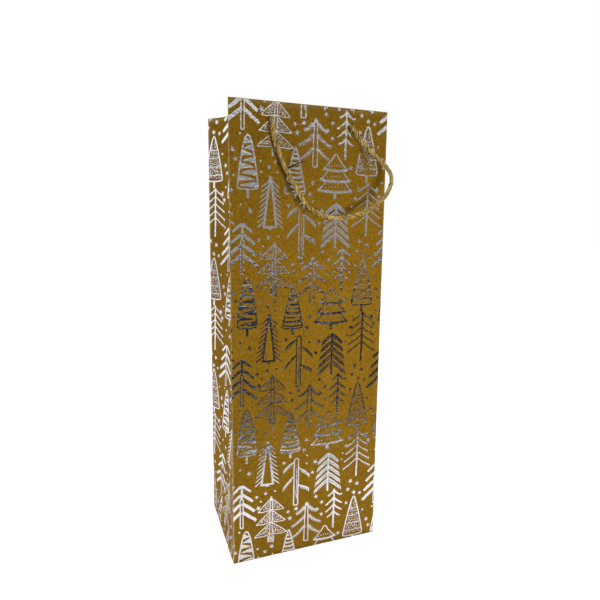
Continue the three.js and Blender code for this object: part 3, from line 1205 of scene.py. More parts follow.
@dataclass(frozen=True)
class SwagTree(Tree):
    """Three open tiers with thick sagging hems and rows of dots."""

    def draw(self, ink: Ink) -> None:
        """Tiers whose hems sag, dots in them, and a solid trunk."""
        hems = ((0.63, 0.68), (0.39, 0.86), (0.16, 1.0))
        above = (1.0, 0.03)
        for place, width in hems:
            up, half = self.height * place, self.reach * width
            for side in (-1, 1):
                shoulder = self.at(side * self.reach * above[1], self.height * above[0] - 0.3)
                ink.stroke(arc_path(shoulder, self.at(side * half, up + 1), side * 0.5), 0.9)
            hem = arc_path(self.at(-half - 0.6, up + 1.2), self.at(half + 0.6, up + 1.2), 1.5, 11)
            ink.stroke(hem, 1.9)
            above = (place + 0.02, width * 0.62)
            for across in np.linspace(-0.55, 0.55, 3 + round(4 * width)):
                ink.blot(self.at(across * half, up + 3.4 + 0.5 * np.cos(5 * across)), 0.55, 6)
        ink.stroke([self.at(0, 0), self.at(0, 2.5), self.at(0, 5)], 2.6)


@dataclass(frozen=True)
class CombTree(Tree):
    """Five broad chevrons, each two lines with teeth between them."""

    def draw(self, ink: Ink) -> None:
        """Chevrons of growing width on a solid trunk."""
        ink.stroke([self.at(0, up) for up in np.linspace(0, self.height, 7)], 1.5)
        for k in range(5):
            top, reach = self.height - 0.5 - 5.7 * k, self.reach * (0.74 + 0.065 * k)
            for side in (-1, 1):
                outer = arc_path(self.at(0, top), self.at(side * reach, top - reach * 0.80), -side * 0.5, 9)
                lower = outer - (0, 2.5)
                ink.stroke(outer, 0.8)
                ink.stroke(lower[1:-1], 0.55)
                for high, low in zip(outer[1:], lower[1:]):
                    ink.stroke([high, low + (side * 0.2, -0.2)], 0.75, 0.8, 0.08)


@dataclass(frozen=True)
class DropTree(Tree):
    """Five pairs of fine boughs hung with drops."""

    def draw(self, ink: Ink) -> None:
        """Fine boughs with hairs under their outer half and a blot at each tip."""
        ink.stroke([self.at(0, up) for up in np.linspace(0, self.height, 8)], 1.5)
        for k in range(5):
            start, reach = self.height * (0.98 - 0.145 * k), self.reach * (0.66 + 0.085 * k)
            for side in (-1, 1):
                tip = self.at(side * reach, start - reach * 0.68)
                bough = arc_path(self.at(0, start), tip, side * 0.3, 9)
                ink.stroke(bough, 0.8, 0.8)
                ink.blot(tip, 0.75, 7)
                for point in bough[3:]:
                    ink.stroke([point, point + (0, -1.3)], 0.5, 0.7, 0.1)


FOREST: tuple[Tree, ...] = (
    BarTree(6.5, 30.1, 37, 12),
    TierTree(31.1, 12.9, 40.5, 14),
    FeatherTree(62.4, 7.3, 35, 12.5),
    ThinTree(87.2, 14.1, 36, 7.5),
    ConeTree(106.1, -2.7, 43, 9.6, ConeFill.GRAIN, 0.72),
    ConeTree(10.4, -17.8, 44.5, 7.9, ConeFill.WEDGES, 0.52, 6.5),
    NeedleTree(27.6, 62.9, 38.5, 10.8),
    ConeTree(46.8, -18.4, 39, 8.5, ConeFill.STRIPES, 0.80, 5),
    BareTree(52.4, 41.7, 41.5, 11.5),
    SwagTree(79.5, -16, 34, 14.2),
    CombTree(81, 49, 35, 11.8),
    DropTree(107.6, 58.8, 41.5, 12.4),
)


@dataclass
class FoilPrint:
    """The repeat of the print and the pieces of foil that it gives each panel."""

    form: BagForm
    forest: tuple[Tree, ...] = FOREST
    across: float = 120.0
    up: float = 103.0
    skew: float = 0.012
    lift: float = 0.07 * MM
    seed: int = 11
    repeat: np.ndarray = field(init=False)

    def __post_init__(self) -> None:
        """Draws the repeat once, in millimetres."""
        drawn = []
        for number, tree in enumerate(self.forest):
            ink = Ink(self.seed + number)
            tree.draw(ink)
            drawn.append(ink.triangles())
        self.repeat = np.concatenate([*drawn, self.scatter()])

    def scatter(self, tries: int = 1500) -> np.ndarray:
        """Stars and dots at seeded random places clear of the trees and of each other."""
        ink = Ink(self.seed - 1)
        period = np.array([self.across, self.up])
        places = ink.rng.uniform(0, 1, (tries, 2)) * period
        free = np.ones(tries, bool)
        for tree in self.forest:
            for shift_x in (-1, 0, 1):
                for shift_z in (-1, 0, 1):
                    free &= ~tree.covers(places + period * (shift_x, shift_z), 2.9)
        kept: list[np.ndarray] = []
        for place in places[free]:
            gaps = [np.abs((place - other + period / 2) % period - period / 2) for other in kept]
            if all(np.hypot(*gap) > 5.7 for gap in gaps):
                kept.append(place)
        for number, place in enumerate(kept):
            if number % 3 == 2:
                ink.blot(place, 0.9, 8)
            else:
                ink.star(place, 2.1 + 0.35 * (number % 2))
        return ink.triangles()

    def over(self, panel: Panel) -> np.ndarray:
        """The triangles of all repeats that fall on a panel, in metres, cut to its outline.

        The print sits on the sheet at a slight angle, and none of it is left on the rim's fold.
        """
        form = self.form
        foot = isinstance(panel, GussetFoot)
        top = form.foot if foot else form.rim + form.rim_arc + form.turn_in
        level = np.array([0.0 if foot else form.height])
        low, high = (float(limit[0]) for limit in panel.limits(level))
        sheets = []
        for i in range(math.floor(low / MM / self.across) - 1, math.ceil(high / MM / self.across) + 1):
            for j in range(-1, math.ceil(top / MM / self.up) + 1):
                sheets.append(self.repeat + (i * self.across, j * self.up))
        straight = np.concatenate(sheets) * MM
        flat = straight + self.skew * straight[..., ::-1] * (1, -1)
        spare = 0.4 * MM
        bounds = [((1.0, 0.0), low), ((-1.0, 0.0), -high), ((0.0, 1.0), spare), ((0.0, -1.0), -top)]
        for normal, offset in bounds + self.slants(panel):
            flat = split(flat, normal, offset)[0]
        for normal, offset in panel.cuts():
            flat = np.concatenate(split(flat, normal, offset))
        middle = flat[..., 1].mean(1)
        return flat[(middle < form.rim) | (middle > form.rim + form.rim_arc)]

    def slants(self, panel: Panel) -> list[tuple[tuple[float, float], float]]:
        """The slanted creases at the foot of a gusset, as half planes to keep."""
        form = self.form
        if not isinstance(panel, GussetPanel):
            return []
        slope = form.half_depth / form.foot
        low, high = panel.start(), panel.start() + form.depth
        # Left crease: u = low + slope h. Right crease: u = high - slope h.
        if isinstance(panel, GussetFoot):
            return [((1.0, -slope), low), ((-1.0, -slope), -high)]
        if panel.low_is_edge():
            return [((-1.0, slope), -low)]
        return [((1.0, slope), high)]

    def piece(self, panel: Panel, material: bpy.types.Material) -> bpy.types.Object:
        """Lays the print on a panel, a hair above the paper.

        Args:
            panel: The part of the sheet.
            material: The foil.

        Returns:
            The piece of foil.
        """
        flat = self.over(panel)
        keys = np.round(flat.reshape(-1, 2) / (0.002 * MM)).astype(np.int64)
        _, first, corners = np.unique(keys, axis=0, return_index=True, return_inverse=True)
        places = flat.reshape(-1, 2)[first]
        faces = corners.reshape(-1, 3)
        whole = (faces != np.roll(faces, 1, axis=1)).all(1)
        points = panel.point(places[:, 0], places[:, 1], self.lift)
        shape = Shape(points, [faces[whole]], places)
        return shape.piece(f"{panel.name}_foil", material)


def split(triangles: np.ndarray, normal: Sequence[float],
          offset: float) -> tuple[np.ndarray, np.ndarray]:
    """Cuts triangles along the line normal . p = offset.

    A triangle that the line crosses has one corner alone on its side; it is turned so that this
    corner comes first, and becomes a triangle there and two on the other side.

    Args:
        triangles: Shape (n, 3, 2).
        normal: The line's normal.
        offset: The line's offset.

    Returns:
        The triangles on the normal's side, and the others.
    """
    tiny = 1e-9
    distance = triangles @ np.asarray(normal, float) - offset
    above, below = (distance >= -tiny).all(1), (distance <= tiny).all(1) & ~(distance >= -tiny).all(1)
    crossed = ~(above | below)
    mixed, away = triangles[crossed], distance[crossed]
    lone_above = (away > tiny).sum(1) == 1
    lone = np.where(lone_above, away.argmax(1), away.argmin(1))
    order = (lone[:, None] + np.arange(3)) % 3
    corners = np.take_along_axis(mixed, order[..., None], 1)
    away = np.take_along_axis(away, order, 1)
    a, b, c = corners[:, 0], corners[:, 1], corners[:, 2]
    ab = a + (b - a) * np.clip(away[:, 0] / (away[:, 0] - away[:, 1]), 0, 1)[:, None]
    ac = a + (c - a) * np.clip(away[:, 0] / (away[:, 0] - away[:, 2]), 0, 1)[:, None]
    tip = np.stack([a, ab, ac], 1)
    rest = np.concatenate([np.stack([ab, b, c], 1), np.stack([ab, c, ac], 1)])
    both = np.concatenate([lone_above, lone_above])
    upper = np.concatenate([triangles[above], tip[lone_above], rest[~both]])
    lower = np.concatenate([triangles[below], tip[~lone_above], rest[both]])
    return upper, lower


# ---- Paper and board --------------------------------------------------------------------------


@dataclass
class PaperBag:
    """The folded sheet with its turned-in rim, glued base and side seam, and the print on it."""

    form: BagForm
    hole_x: float = 32 * MM
    hole_z: float = 346 * MM
    hole_radius: float = 2.5 * MM
    body: str = "bag"

    def panels(self) -> list[Panel]:
        """Every part of the sheet, in order round the bag."""
        wide = {"tuck_depth": 2.4 * MM, "mitres": (5.5 * MM, 5.5 * MM)}
        made: list[Panel] = [
            FacePanel(self.form, "front", ("front_panel",), "front_rim_turn_in", **wide),
            FacePanel(self.form, "back", ("back_panel",), "back_rim_turn_in", end=End.REAR, **wide),
        ]
        for side in Side:
            name = side.name.lower()
            for end in End:
                half = GussetHalf(self.form, f"{name}_gusset_{end.value}",
                                  (f"{name}_gusset_{end.value}",),
                                  f"{name}_{end.value}_rim_turn_in", side=side, end=end)
                edge, crease = 4.5 * MM, -0.5 * MM
                half.mitres = (edge, crease) if half.low_is_edge() else (crease, edge)
                made.append(half)
            foot = f"{name}_gusset_foot"
            made.append(GussetFoot(self.form, foot, (foot,), side=side))
        return made

    def hole_centres(self, panel: Panel) -> list[Vector]:
        """The middles of the cord holes in a face."""
        low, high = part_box(panel.nodes[0])
        middle = low.y if isinstance(panel, FacePanel) and panel.end is End.FRONT else high.y
        return [Vector((x, middle, self.hole_z)) for x in (-self.hole_x, self.hole_x)]

    def build(self) -> list[bpy.types.Object]:
        """Builds the paper and its foil."""
        kraft = KraftFinish("printed_kraft", (0.150, 0.071, 0.004), (0.305, 0.166, 0.012),
                            (0.60, 0.45, 0.22), 0.85).material()
        foil = FoilFinish().material()
        foil_print = FoilPrint(self.form)
        made = []
        for panel in self.panels():
            paper = self.sheet(panel, panel.rows(), panel.name, kraft)
            made.append(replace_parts(paper, *panel.nodes))
            if panel.turned_node:
                form = self.form
                arc = form.rim + form.rim_arc * np.linspace(0, 1, 10)
                down = np.linspace(arc[-1], arc[-1] + form.turn_in, 14)[1:]
                turned = self.sheet(panel, np.concatenate([arc, down]), f"{panel.name}_turned_rim", kraft)
                made.append(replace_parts(turned, panel.turned_node))
            decoration = foil_print.piece(panel, foil)
            made.append(decoration)
        for piece in made:
            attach(piece, self.body)
        return made

    def sheet(self, panel: Panel, rows: np.ndarray, name: str,
              material: bpy.types.Material) -> bpy.types.Object:
        """Makes one layer of paper, with cord holes where it is a face.

        Args:
            panel: The part of the sheet.
            rows: The heights of its rows on the sheet.
            name: The piece's name.
            material: Its finish.

        Returns:
            The piece.
        """
        piece = panel.shape(rows).piece(f"{name}_paper", material)
        weld(piece, 0.005 * MM)
        thicken(piece, self.form.paper)
        if isinstance(panel, FacePanel):
            pierce(piece, self.hole_centres(panel), self.hole_radius)
        else:
            apply_modifiers(piece)
        return piece

    def dress_hidden(self) -> None:
        """Gives the base flaps, the seam and the board pieces that stay as packed their finish."""
        inside = KraftFinish("plain_kraft", (0.20, 0.115, 0.022), (0.36, 0.235, 0.06),
                             (0.46, 0.33, 0.13), wear_and_highlight=0.0, on_sheet=False)
        plain = inside.material()
        board = BoardFinish().material()
        finishes = {"base_front_flap": plain, "base_back_flap": plain, "base_left_flap": plain,
                    "base_right_flap": plain, "side_seam_tab": plain,
                    "front_rim_card": board, "back_rim_card": board, "base_board": board}
        for node, material in finishes.items():
            piece = frame["nodes"][node]
            piece.data.materials.clear()
            piece.data.materials.append(material)
            LOG.info("dressed %s", node)


# ---- Twine ------------------------------------------------------------------------------------


def smooth_route(points: np.ndarray, per_span: int = 40) -> np.ndarray:
    """A centripetal Catmull-Rom curve through points.

    Between two points the curve is a cubic Hermite whose slopes come from its four nearest points,
    spaced by the square roots of their distances; past both ends the route is mirrored.

    Args:
        points: The route's points.
        per_span: Samples between two points.

    Returns:
        Samples along the curve.
    """
    ends = (2 * points[:1] - points[1:2], 2 * points[-1:] - points[-2:-1])
    p0, p1, p2, p3 = (np.concatenate([ends[0], points, ends[1]])[k:k + len(points) - 1]
                      for k in range(4))
    d0, d1, d2 = (np.linalg.norm(b - a, axis=1, keepdims=True) ** 0.5
                  for a, b in ((p0, p1), (p1, p2), (p2, p3)))
    m1 = ((p1 - p0) / d0 - (p2 - p0) / (d0 + d1) + (p2 - p1) / d1) * d1
    m2 = ((p2 - p1) / d1 - (p3 - p1) / (d1 + d2) + (p3 - p2) / d2) * d1
    t = np.linspace(0, 1, per_span, endpoint=False)[None, :, None]
    p1, p2, m1, m2 = (value[:, None] for value in (p1, p2, m1, m2))
    spans = ((2 * t**3 - 3 * t**2 + 1) * p1 + (t**3 - 2 * t**2 + t) * m1
             + (-2 * t**3 + 3 * t**2) * p2 + (t**3 - t**2) * m2)
    return np.concatenate([spans.reshape(-1, 3), points[-1:]])


def path_length(path: np.ndarray) -> float:
    """The length of a polyline."""
    return float(np.linalg.norm(np.diff(path, axis=0), axis=1).sum())


def even_path(path: np.ndarray, step: float) -> tuple[np.ndarray, np.ndarray]:
    """A polyline again with even steps, and the length run at each of its points."""
    run = np.concatenate([[0], np.cumsum(np.linalg.norm(np.diff(path, axis=0), axis=1))])
    places = np.linspace(0, run[-1], max(4, round(run[-1] / step)))
    return np.stack([np.interp(places, run, path[:, k]) for k in range(3)], -1), places


def ring_frames(path: np.ndarray, reference: Sequence[float]) -> tuple[np.ndarray, np.ndarray]:
    """Two unit vectors across a path: the reference made square to it, and their cross product."""
    tangent = unit(np.gradient(path, axis=0))
    reference = np.broadcast_to(np.asarray(reference, float), tangent.shape)
    normal = unit(reference - (reference * tangent).sum(1, keepdims=True) * tangent)
    return normal, np.cross(tangent, normal)


@dataclass
class Twine:
    """Three plies of jute twisted into a cord, as a swept and twisted section."""

    radius: float = 1.66 * MM
    pitch: float = 13 * MM
    groove: float = 0.34
    ring: int = 36
    step: float = 0.42 * MM

    def profile(self, columns: np.ndarray) -> np.ndarray:
        """The section's reach: full on each ply, less by the groove where two plies meet."""
        ply = (columns * 3) % 1 * 2 - 1
        return 1 - self.groove * np.abs(ply) ** 2.4

    def sweep(self, path: np.ndarray, rng: np.random.Generator, reference: Sequence[float] = (0, 1, 0),
              swell: Optional[np.ndarray] = None, radius: Optional[float] = None) -> Shape:
        """Carries the section along a path while it turns once in each pitch.

        Args:
            path: The middle line.
            rng: Random numbers for the uneven plies.
            reference: A direction that the path never points along.
            swell: The radius's share at even places along the path.
            radius: The section's radius, where it isn't the twine's own.

        Returns:
            The closed tube, with places that run round and along the plies.
        """
        path, run = even_path(path, self.step)
        normal, binormal = ring_frames(path, reference)
        share = np.arange(self.ring) / self.ring
        angle = 2 * np.pi * (share[None] + run[:, None] / self.pitch)
        scale = np.ones(len(path)) if swell is None else np.interp(
            np.linspace(0, 1, len(path)), np.linspace(0, 1, len(swell)), swell)
        rough = uneven(rng, len(path), self.ring)
        reach = (radius or self.radius) * scale[:, None] * (self.profile(share)[None] + rough)
        points = path[:, None] + reach[..., None] * (
            np.cos(angle)[..., None] * normal[:, None] + np.sin(angle)[..., None] * binormal[:, None])
        places = np.stack(np.broadcast_arrays(share[None] * 2 * np.pi * self.radius, run[:, None]), -1)
        rows, count = len(path), self.ring
        around = np.arange(count)
        after = (around + 1) % count
        first = np.stack([np.full(count, rows * count), after, around], -1)
        last = np.stack([np.full(count, rows * count + 1), (rows - 1) * count + around,
                         (rows - 1) * count + after], -1)
        points = np.concatenate([points.reshape(-1, 3), path[:1], path[-1:]])
        places = np.concatenate([places.reshape(-1, 2), [[0, 0], [0, run[-1]]]])
        return Shape(points, [grid_faces(rows, count, wrap=True), first, last], places)

    def fuzz(self, path: np.ndarray, rng: np.random.Generator, density: float,
             reference: Sequence[float] = (0, 1, 0), length: float = 2.6 * MM) -> Shape:
        """Stray fibres that leave the twine at a slant.

        Args:
            path: The twine's middle line.
            rng: Random numbers.
            density: Fibres per metre.
            reference: A direction that the path never points along.
            length: The fibres' mean length.

        Returns:
            All fibres as one shape.
        """
        path, run = even_path(path, self.step)
        normal, binormal = ring_frames(path, reference)
        tangent = unit(np.gradient(path, axis=0))
        count = int(density * run[-1])
        at = rng.integers(0, len(path), count)
        angle = rng.uniform(0, 2 * np.pi, count)[:, None]
        out = np.cos(angle) * normal[at] + np.sin(angle) * binormal[at]
        around = np.cross(tangent[at], out)
        way = rng.choice([-1.0, 1.0], count)[:, None]
        start = unit(tangent[at] * way + 0.45 * around * way + out * rng.uniform(0.1, 0.8, (count, 1)))
        bend = unit(out * rng.uniform(-0.6, 1.0, (count, 1)) + rng.normal(0, 0.5, (count, 3)))
        roots = path[at] + out * self.radius * 0.82
        lengths = length * rng.lognormal(-0.15, 0.55, count)
        return fibres(roots, start, bend, lengths, rng.uniform(0.030, 0.055, count) * MM, rng)


def uneven(rng: np.random.Generator, rows: int, columns: int) -> np.ndarray:
    """Smooth random relief on a tube: white noise blurred along it and round it.

    Args:
        rng: Random numbers.
        rows: Rings along the tube.
        columns: Points round a ring.

    Returns:
        The relief, as a share of the radius.
    """
    noise = np.fft.rfft2(rng.normal(0, 1, (rows, columns)))
    along = np.fft.fftfreq(rows)[:, None] * rows
    around = np.fft.rfftfreq(columns)[None] * columns
    noise *= np.exp(-((along / (rows * 0.055)) ** 2) - (around / 9) ** 2)
    relief = np.fft.irfft2(noise, (rows, columns))
    return 0.045 * relief / relief.std()


def fibres(roots: np.ndarray, start: np.ndarray, bend: np.ndarray, lengths: np.ndarray,
           radii: np.ndarray, rng: np.random.Generator) -> Shape:
    """Thin three-sided hairs: each follows root + length (t start + t^2 bend / 2) and tapers.

    Args:
        roots: Where each hair starts.
        start: Its first direction.
        bend: Where it turns to.
        lengths: Its length.
        radii: Its thickness at the root.
        rng: Random numbers for its colour.

    Returns:
        The hairs as one shape.
    """
    rings, sides = 7, 3
    count = len(roots)
    t = np.linspace(0, 1, rings)[None, :, None]
    middle = roots[:, None] + lengths[:, None, None] * (t * start[:, None] + 0.5 * t**2 * bend[:, None])
    across = unit(np.cross(start, bend + [0.01, 0.02, 0.03]))
    other = np.cross(unit(start), across)
    turn = (np.arange(sides) * 2 * np.pi / sides)[None, None, :, None]
    circle = np.cos(turn) * across[:, None, None] + np.sin(turn) * other[:, None, None]
    taper = (1 - 0.75 * t) * radii[:, None, None]
    points = middle[:, :, None] + taper[..., None] * circle
    offset = (np.arange(count) * rings * sides)[:, None, None]
    sides_of = (grid_faces(rings, sides, wrap=True)[None] + offset).reshape(-1, 4)
    end = (rings - 1) * sides
    caps = np.array([[2, 1, 0], [end, end + 1, end + 2]])[None] + offset
    tint = rng.uniform(0, 40 * MM, (count, 1, 1, 1))
    along = t[..., None] * lengths[:, None, None, None]
    places = np.concatenate(np.broadcast_arrays(tint + along * 0.02, along + tint * 3), -1)
    places = np.broadcast_to(places, points.shape[:3] + (2,))
    return Shape(points.reshape(-1, 3), [sides_of, caps.reshape(-1, 3)], places.reshape(-1, 2))


FRONT_ROUTE = (
    (-32, 0, 346), (-31.6, 0, 341.5), (-30.3, 0.2, 335.5), (-28.8, 0.6, 330), (-26.9, 1.4, 323.8),
    (-23.6, 3, 314.6), (-20.2, 4.2, 307.6), (-16, 5.2, 300.4), (-11, 6.4, 292), (-4.8, 7.4, 284.8),
    (3.4, 8.6, 280), (11.6, 9.6, 277.8), (19, 10.6, 277.4), (27.2, 11.6, 278.8), (35.6, 12.6, 281.4),
    (43.4, 13.6, 285.2), (50, 14.4, 290), (55.2, 15, 296.4), (58.2, 15.2, 303.2), (58.8, 14.4, 309),
    (56.6, 12.4, 314.8), (51.6, 9, 321.4), (46.4, 4.4, 327.4), (41.4, 1, 333.2), (37.2, 0.2, 338.6),
    (33.8, 0, 342.8), (32, 0, 346),
)
FRONT_STRAYS = (
    (0.208, 13.5, 5, 10.5, 0.80), (0.205, 7.0, 5, 3.5, 0.55), (0.52, 7, 3, -4.5, 0.25),
    (0.44, -6, 3, -4.0, 0.12), (0.03, -5, 2, -5.0, 0.15), (0.05, 5, 3, -3.5, 0.13),
)
BACK_ROUTE = (
    (-32, 0, 346), (-31.6, 0, 340), (-31.6, 0.4, 334), (-32, 1.4, 328), (-32, 3, 320),
    (-31.2, 4.8, 310), (-28.6, 6.6, 299), (-24, 8.2, 289), (-17.4, 9.6, 280.4), (-9, 10.6, 274.2),
    (1, 11, 271.6), (11, 10.8, 273), (20.4, 10, 278.2), (28, 9, 285.6), (33.4, 7.8, 294.6),
    (36.6, 6.4, 304.6), (37.6, 4.8, 315), (36.8, 3, 324), (35, 1.2, 331.6), (33.2, 0.3, 338.6),
    (32, 0, 346),
)


@dataclass
class Handle:
    """A cord handle: its free loop outside a face and the knots that hold it inside."""

    name: str
    route: Sequence[Sequence[float]]
    outward: int
    twine: Twine
    seed: int
    # Each stray: its place along the loop, how far it reaches across, out and up, and its radius.
    strays: Sequence[Sequence[float]] = ()
    loosened: float = 1.0
    # The loop bends from a little above the holes down through the bend zone.
    bend_lead: float = 0.3 * MM
    bend_zone: float = 12 * MM
    stand_off: float = 2.6 * MM
    knot_depth: float = 6.6 * MM
    knot_radius: float = 1.62 * MM
    # Stray fibres per metre on the loop, on the turn through the hole and on the knot.
    loop_fuzz: float = 3400
    elbow_fuzz: float = 9000
    knot_fuzz: float = 4000

    @property
    def body(self) -> str:
        """The frame's body that the loop belongs to."""
        return f"{self.name}_handle"

    def axis_y(self) -> float:
        """The Y of the line that the handle swings about, from its joint."""
        joint = next(joint for joint in frame["joints"] if joint["child"] == self.body)
        return joint["pos_m"][1]

    def points(self) -> np.ndarray:
        """The route's points in metres: X, the distance out from the swing line, and Z."""
        x, out, z = np.asarray(self.route, float).T * MM
        return np.stack([x, self.axis_y() + self.outward * out, z], -1)

    def build(self, jute: bpy.types.Material) -> list[bpy.types.Object]:
        """Builds the loop with its fuzz, and the two knots.

        Args:
            jute: The twine's finish.

        Returns:
            The pieces.
        """
        rng = np.random.default_rng(self.seed)
        path = smooth_route(self.points())
        length = path_length(path)
        run = np.linspace(0, length, 200)
        swell = np.interp(run, [0, 3 * MM, 14 * MM, 26 * MM, length - 3 * MM, length],
                          [0.62, self.loosened, self.loosened, 1, 1, 0.62])
        swell *= 1 + 0.07 * np.sin(run / (6.3 * MM)) * np.sin(run / (17 * MM) + self.seed)
        cord = self.twine.sweep(path, rng, swell=swell).piece(f"{self.name}_handle_twine", jute)
        hairs = self.twine.fuzz(path, rng, self.loop_fuzz).piece(f"{self.name}_handle_fibres", jute)
        loop = [cord, hairs, *self.long_dark_strands(path, rng)]
        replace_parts(cord, f"{self.name}_handle_cord")
        top = Vector((0, self.axis_y(), path[0, 2] + self.bend_lead))
        for piece in loop:
            self.body
            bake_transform(piece)
        knots = [self.knot(side, rng, jute) for side in Side]
        declared, _ = even_path(path, 1 * MM)
        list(loop[1:])
        return [*loop, *knots]

    def long_dark_strands(self, path: np.ndarray, rng: np.random.Generator) -> list[bpy.types.Object]:
        """Makes the few long near-black strands that stand off the loop.

        Args:
            path: The loop's middle line.
            rng: Random numbers.

        Returns:
            One piece, or none.
        """
        made = []
        for share, across, out, up, radius in self.strays:
            root = path[int(share * (len(path) - 1))]
            reach = np.array([across, self.outward * out, up])
            length = np.array([np.linalg.norm(reach)]) * MM
            made.append(fibres(root[None], unit(reach)[None], np.array([[0.1, 0, -0.5]]), length,
                               np.array([radius * MM]), rng))
        if not made:
            return []
        # Thin near-black tubes that stand off the loop.
        dark = TwineFinish("dark_fibre", (0.015, 0.008, 0.003), (0.035, 0.020, 0.008),
                           (0.07, 0.045, 0.016)).material()
        return [join_shapes(made).piece(f"{self.name}_handle_strays", dark)]

    def knot(self, side: Side, rng: np.random.Generator, jute: bpy.types.Material) -> bpy.types.Object:
        """Ties the knot inside a hole, with the turn outside it and a frayed tail.

        The knot is a tight trefoil, ((2 + cos 3t) cos 2t, sin 3t, (2 + cos 3t) sin 2t).

        Args:
            side: The hole.
            rng: Random numbers.
            jute: The twine's finish.

        Returns:
            The knot.
        """
        hole = self.points()[0 if side is Side.LEFT else -1]
        face = hole - (0, self.outward * self.stand_off, 0)
        into = -self.outward

        def at(across: float, deep: float, up: float) -> list[float]:
            """A point from the hole's middle on the face, in millimetres."""
            return list(face + np.array([across, into * deep, up]) * MM)

        lean = side.value
        elbow = np.array([at(0, 6.0, 0), at(0, 3.0, 0.1), at(0, 0.8, 0.4), at(0, -1.4, 0.5),
                          at(-0.1 * lean, -2.5, -0.9), at(-0.2 * lean, -2.6, -3.2)])
        t = np.linspace(0.15, 2 * np.pi + 0.15, 260)
        reach, flat = 0.98 * MM, 1.25 * MM
        trefoil = np.stack([(2 + np.cos(3 * t)) * np.cos(2 * t) * reach, into * np.sin(3 * t) * flat,
                            (2 + np.cos(3 * t)) * np.sin(2 * t) * reach], -1)
        trefoil += face + np.array([0, into * self.knot_depth, 0])
        tail = np.array([at(0.8 * lean, 6.4, -1), at(2.4 * lean, 8.2, -4.4), at(3.0 * lean, 8.6, -9),
                         at(2.5 * lean, 8.2, -15), at(2.9 * lean, 7.8, -19)])
        tail_path = smooth_route(tail)
        spread = np.linspace(1, 0.80, 20)
        parts = [
            self.twine.sweep(smooth_route(elbow), rng, (1, 0, 0), swell=np.array([0.8, 1.0, 1.0, 0.9])),
            self.twine.sweep(trefoil, rng, (0.03, 1, 0.02), radius=self.knot_radius),
            self.twine.sweep(tail_path, rng, (0, 1, 0.03), swell=spread),
            self.twine.fuzz(smooth_route(elbow), rng, self.elbow_fuzz, (1, 0, 0)),
            self.twine.fuzz(trefoil, rng, self.knot_fuzz, (0.03, 1, 0.02), length=2.2 * MM),
            self.fray(tail_path[-1], unit(tail_path[-1] - tail_path[-40]), rng),
        ]
        name = f"{self.name}_{side.name.lower()}_knot"
        piece = join_shapes(parts).piece(f"{name}_twine", jute)
        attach(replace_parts(piece, name), "bag")
        return piece

    @staticmethod
    def fray(end: np.ndarray, along: np.ndarray, rng: np.random.Generator) -> Shape:
        """A brush of loosened fibres at the end of a tail."""
        count = 150
        start = unit(along + rng.normal(0, 0.22, (count, 3)))
        roots = end - along * 2.5 * MM + rng.normal(0, 0.55, (count, 3)) * MM
        bend = rng.normal(0, 0.45, (count, 3))
        return fibres(roots, start, bend, rng.uniform(4, 9, count) * MM,
                      rng.uniform(0.06, 0.12, count) * MM, rng)


# ---- The studio -------------------------------------------------------------------------------


@dataclass(frozen=True)
class Camera:
    """A short lens at chest height of the bag, left of its front and looking a little down."""

    eye: Colour = (-0.1368, -0.3945, 0.2753)
    azimuth: float = -20.13
    elevation: float = 9.30
    roll: float = 0.615
    lens: float = 29.1

    def build(self) -> bpy.types.Object:
        """Makes the scene's camera from its angles."""
        a, e, r = (math.radians(angle) for angle in (self.azimuth, self.elevation, self.roll))
        back = Vector((math.sin(a) * math.cos(e), -math.cos(a) * math.cos(e), math.sin(e)))
        right = Vector((0, 0, 1)).cross(back).normalized()
        up = back.cross(right)
        level = Matrix((right, up, back)).transposed().to_4x4()
        data = bpy.data.cameras.new("camera")
        data.lens, data.sensor_width = self.lens, 36
        data.clip_start, data.clip_end = 0.02, 50
        camera = bpy.data.objects.new("camera", data)
        bpy.context.scene.collection.objects.link(camera)
        camera.matrix_world = Matrix.Translation(self.eye) @ level @ Matrix.Rotation(r, 4, "Z")
        bpy.context.scene.camera = camera
        return camera


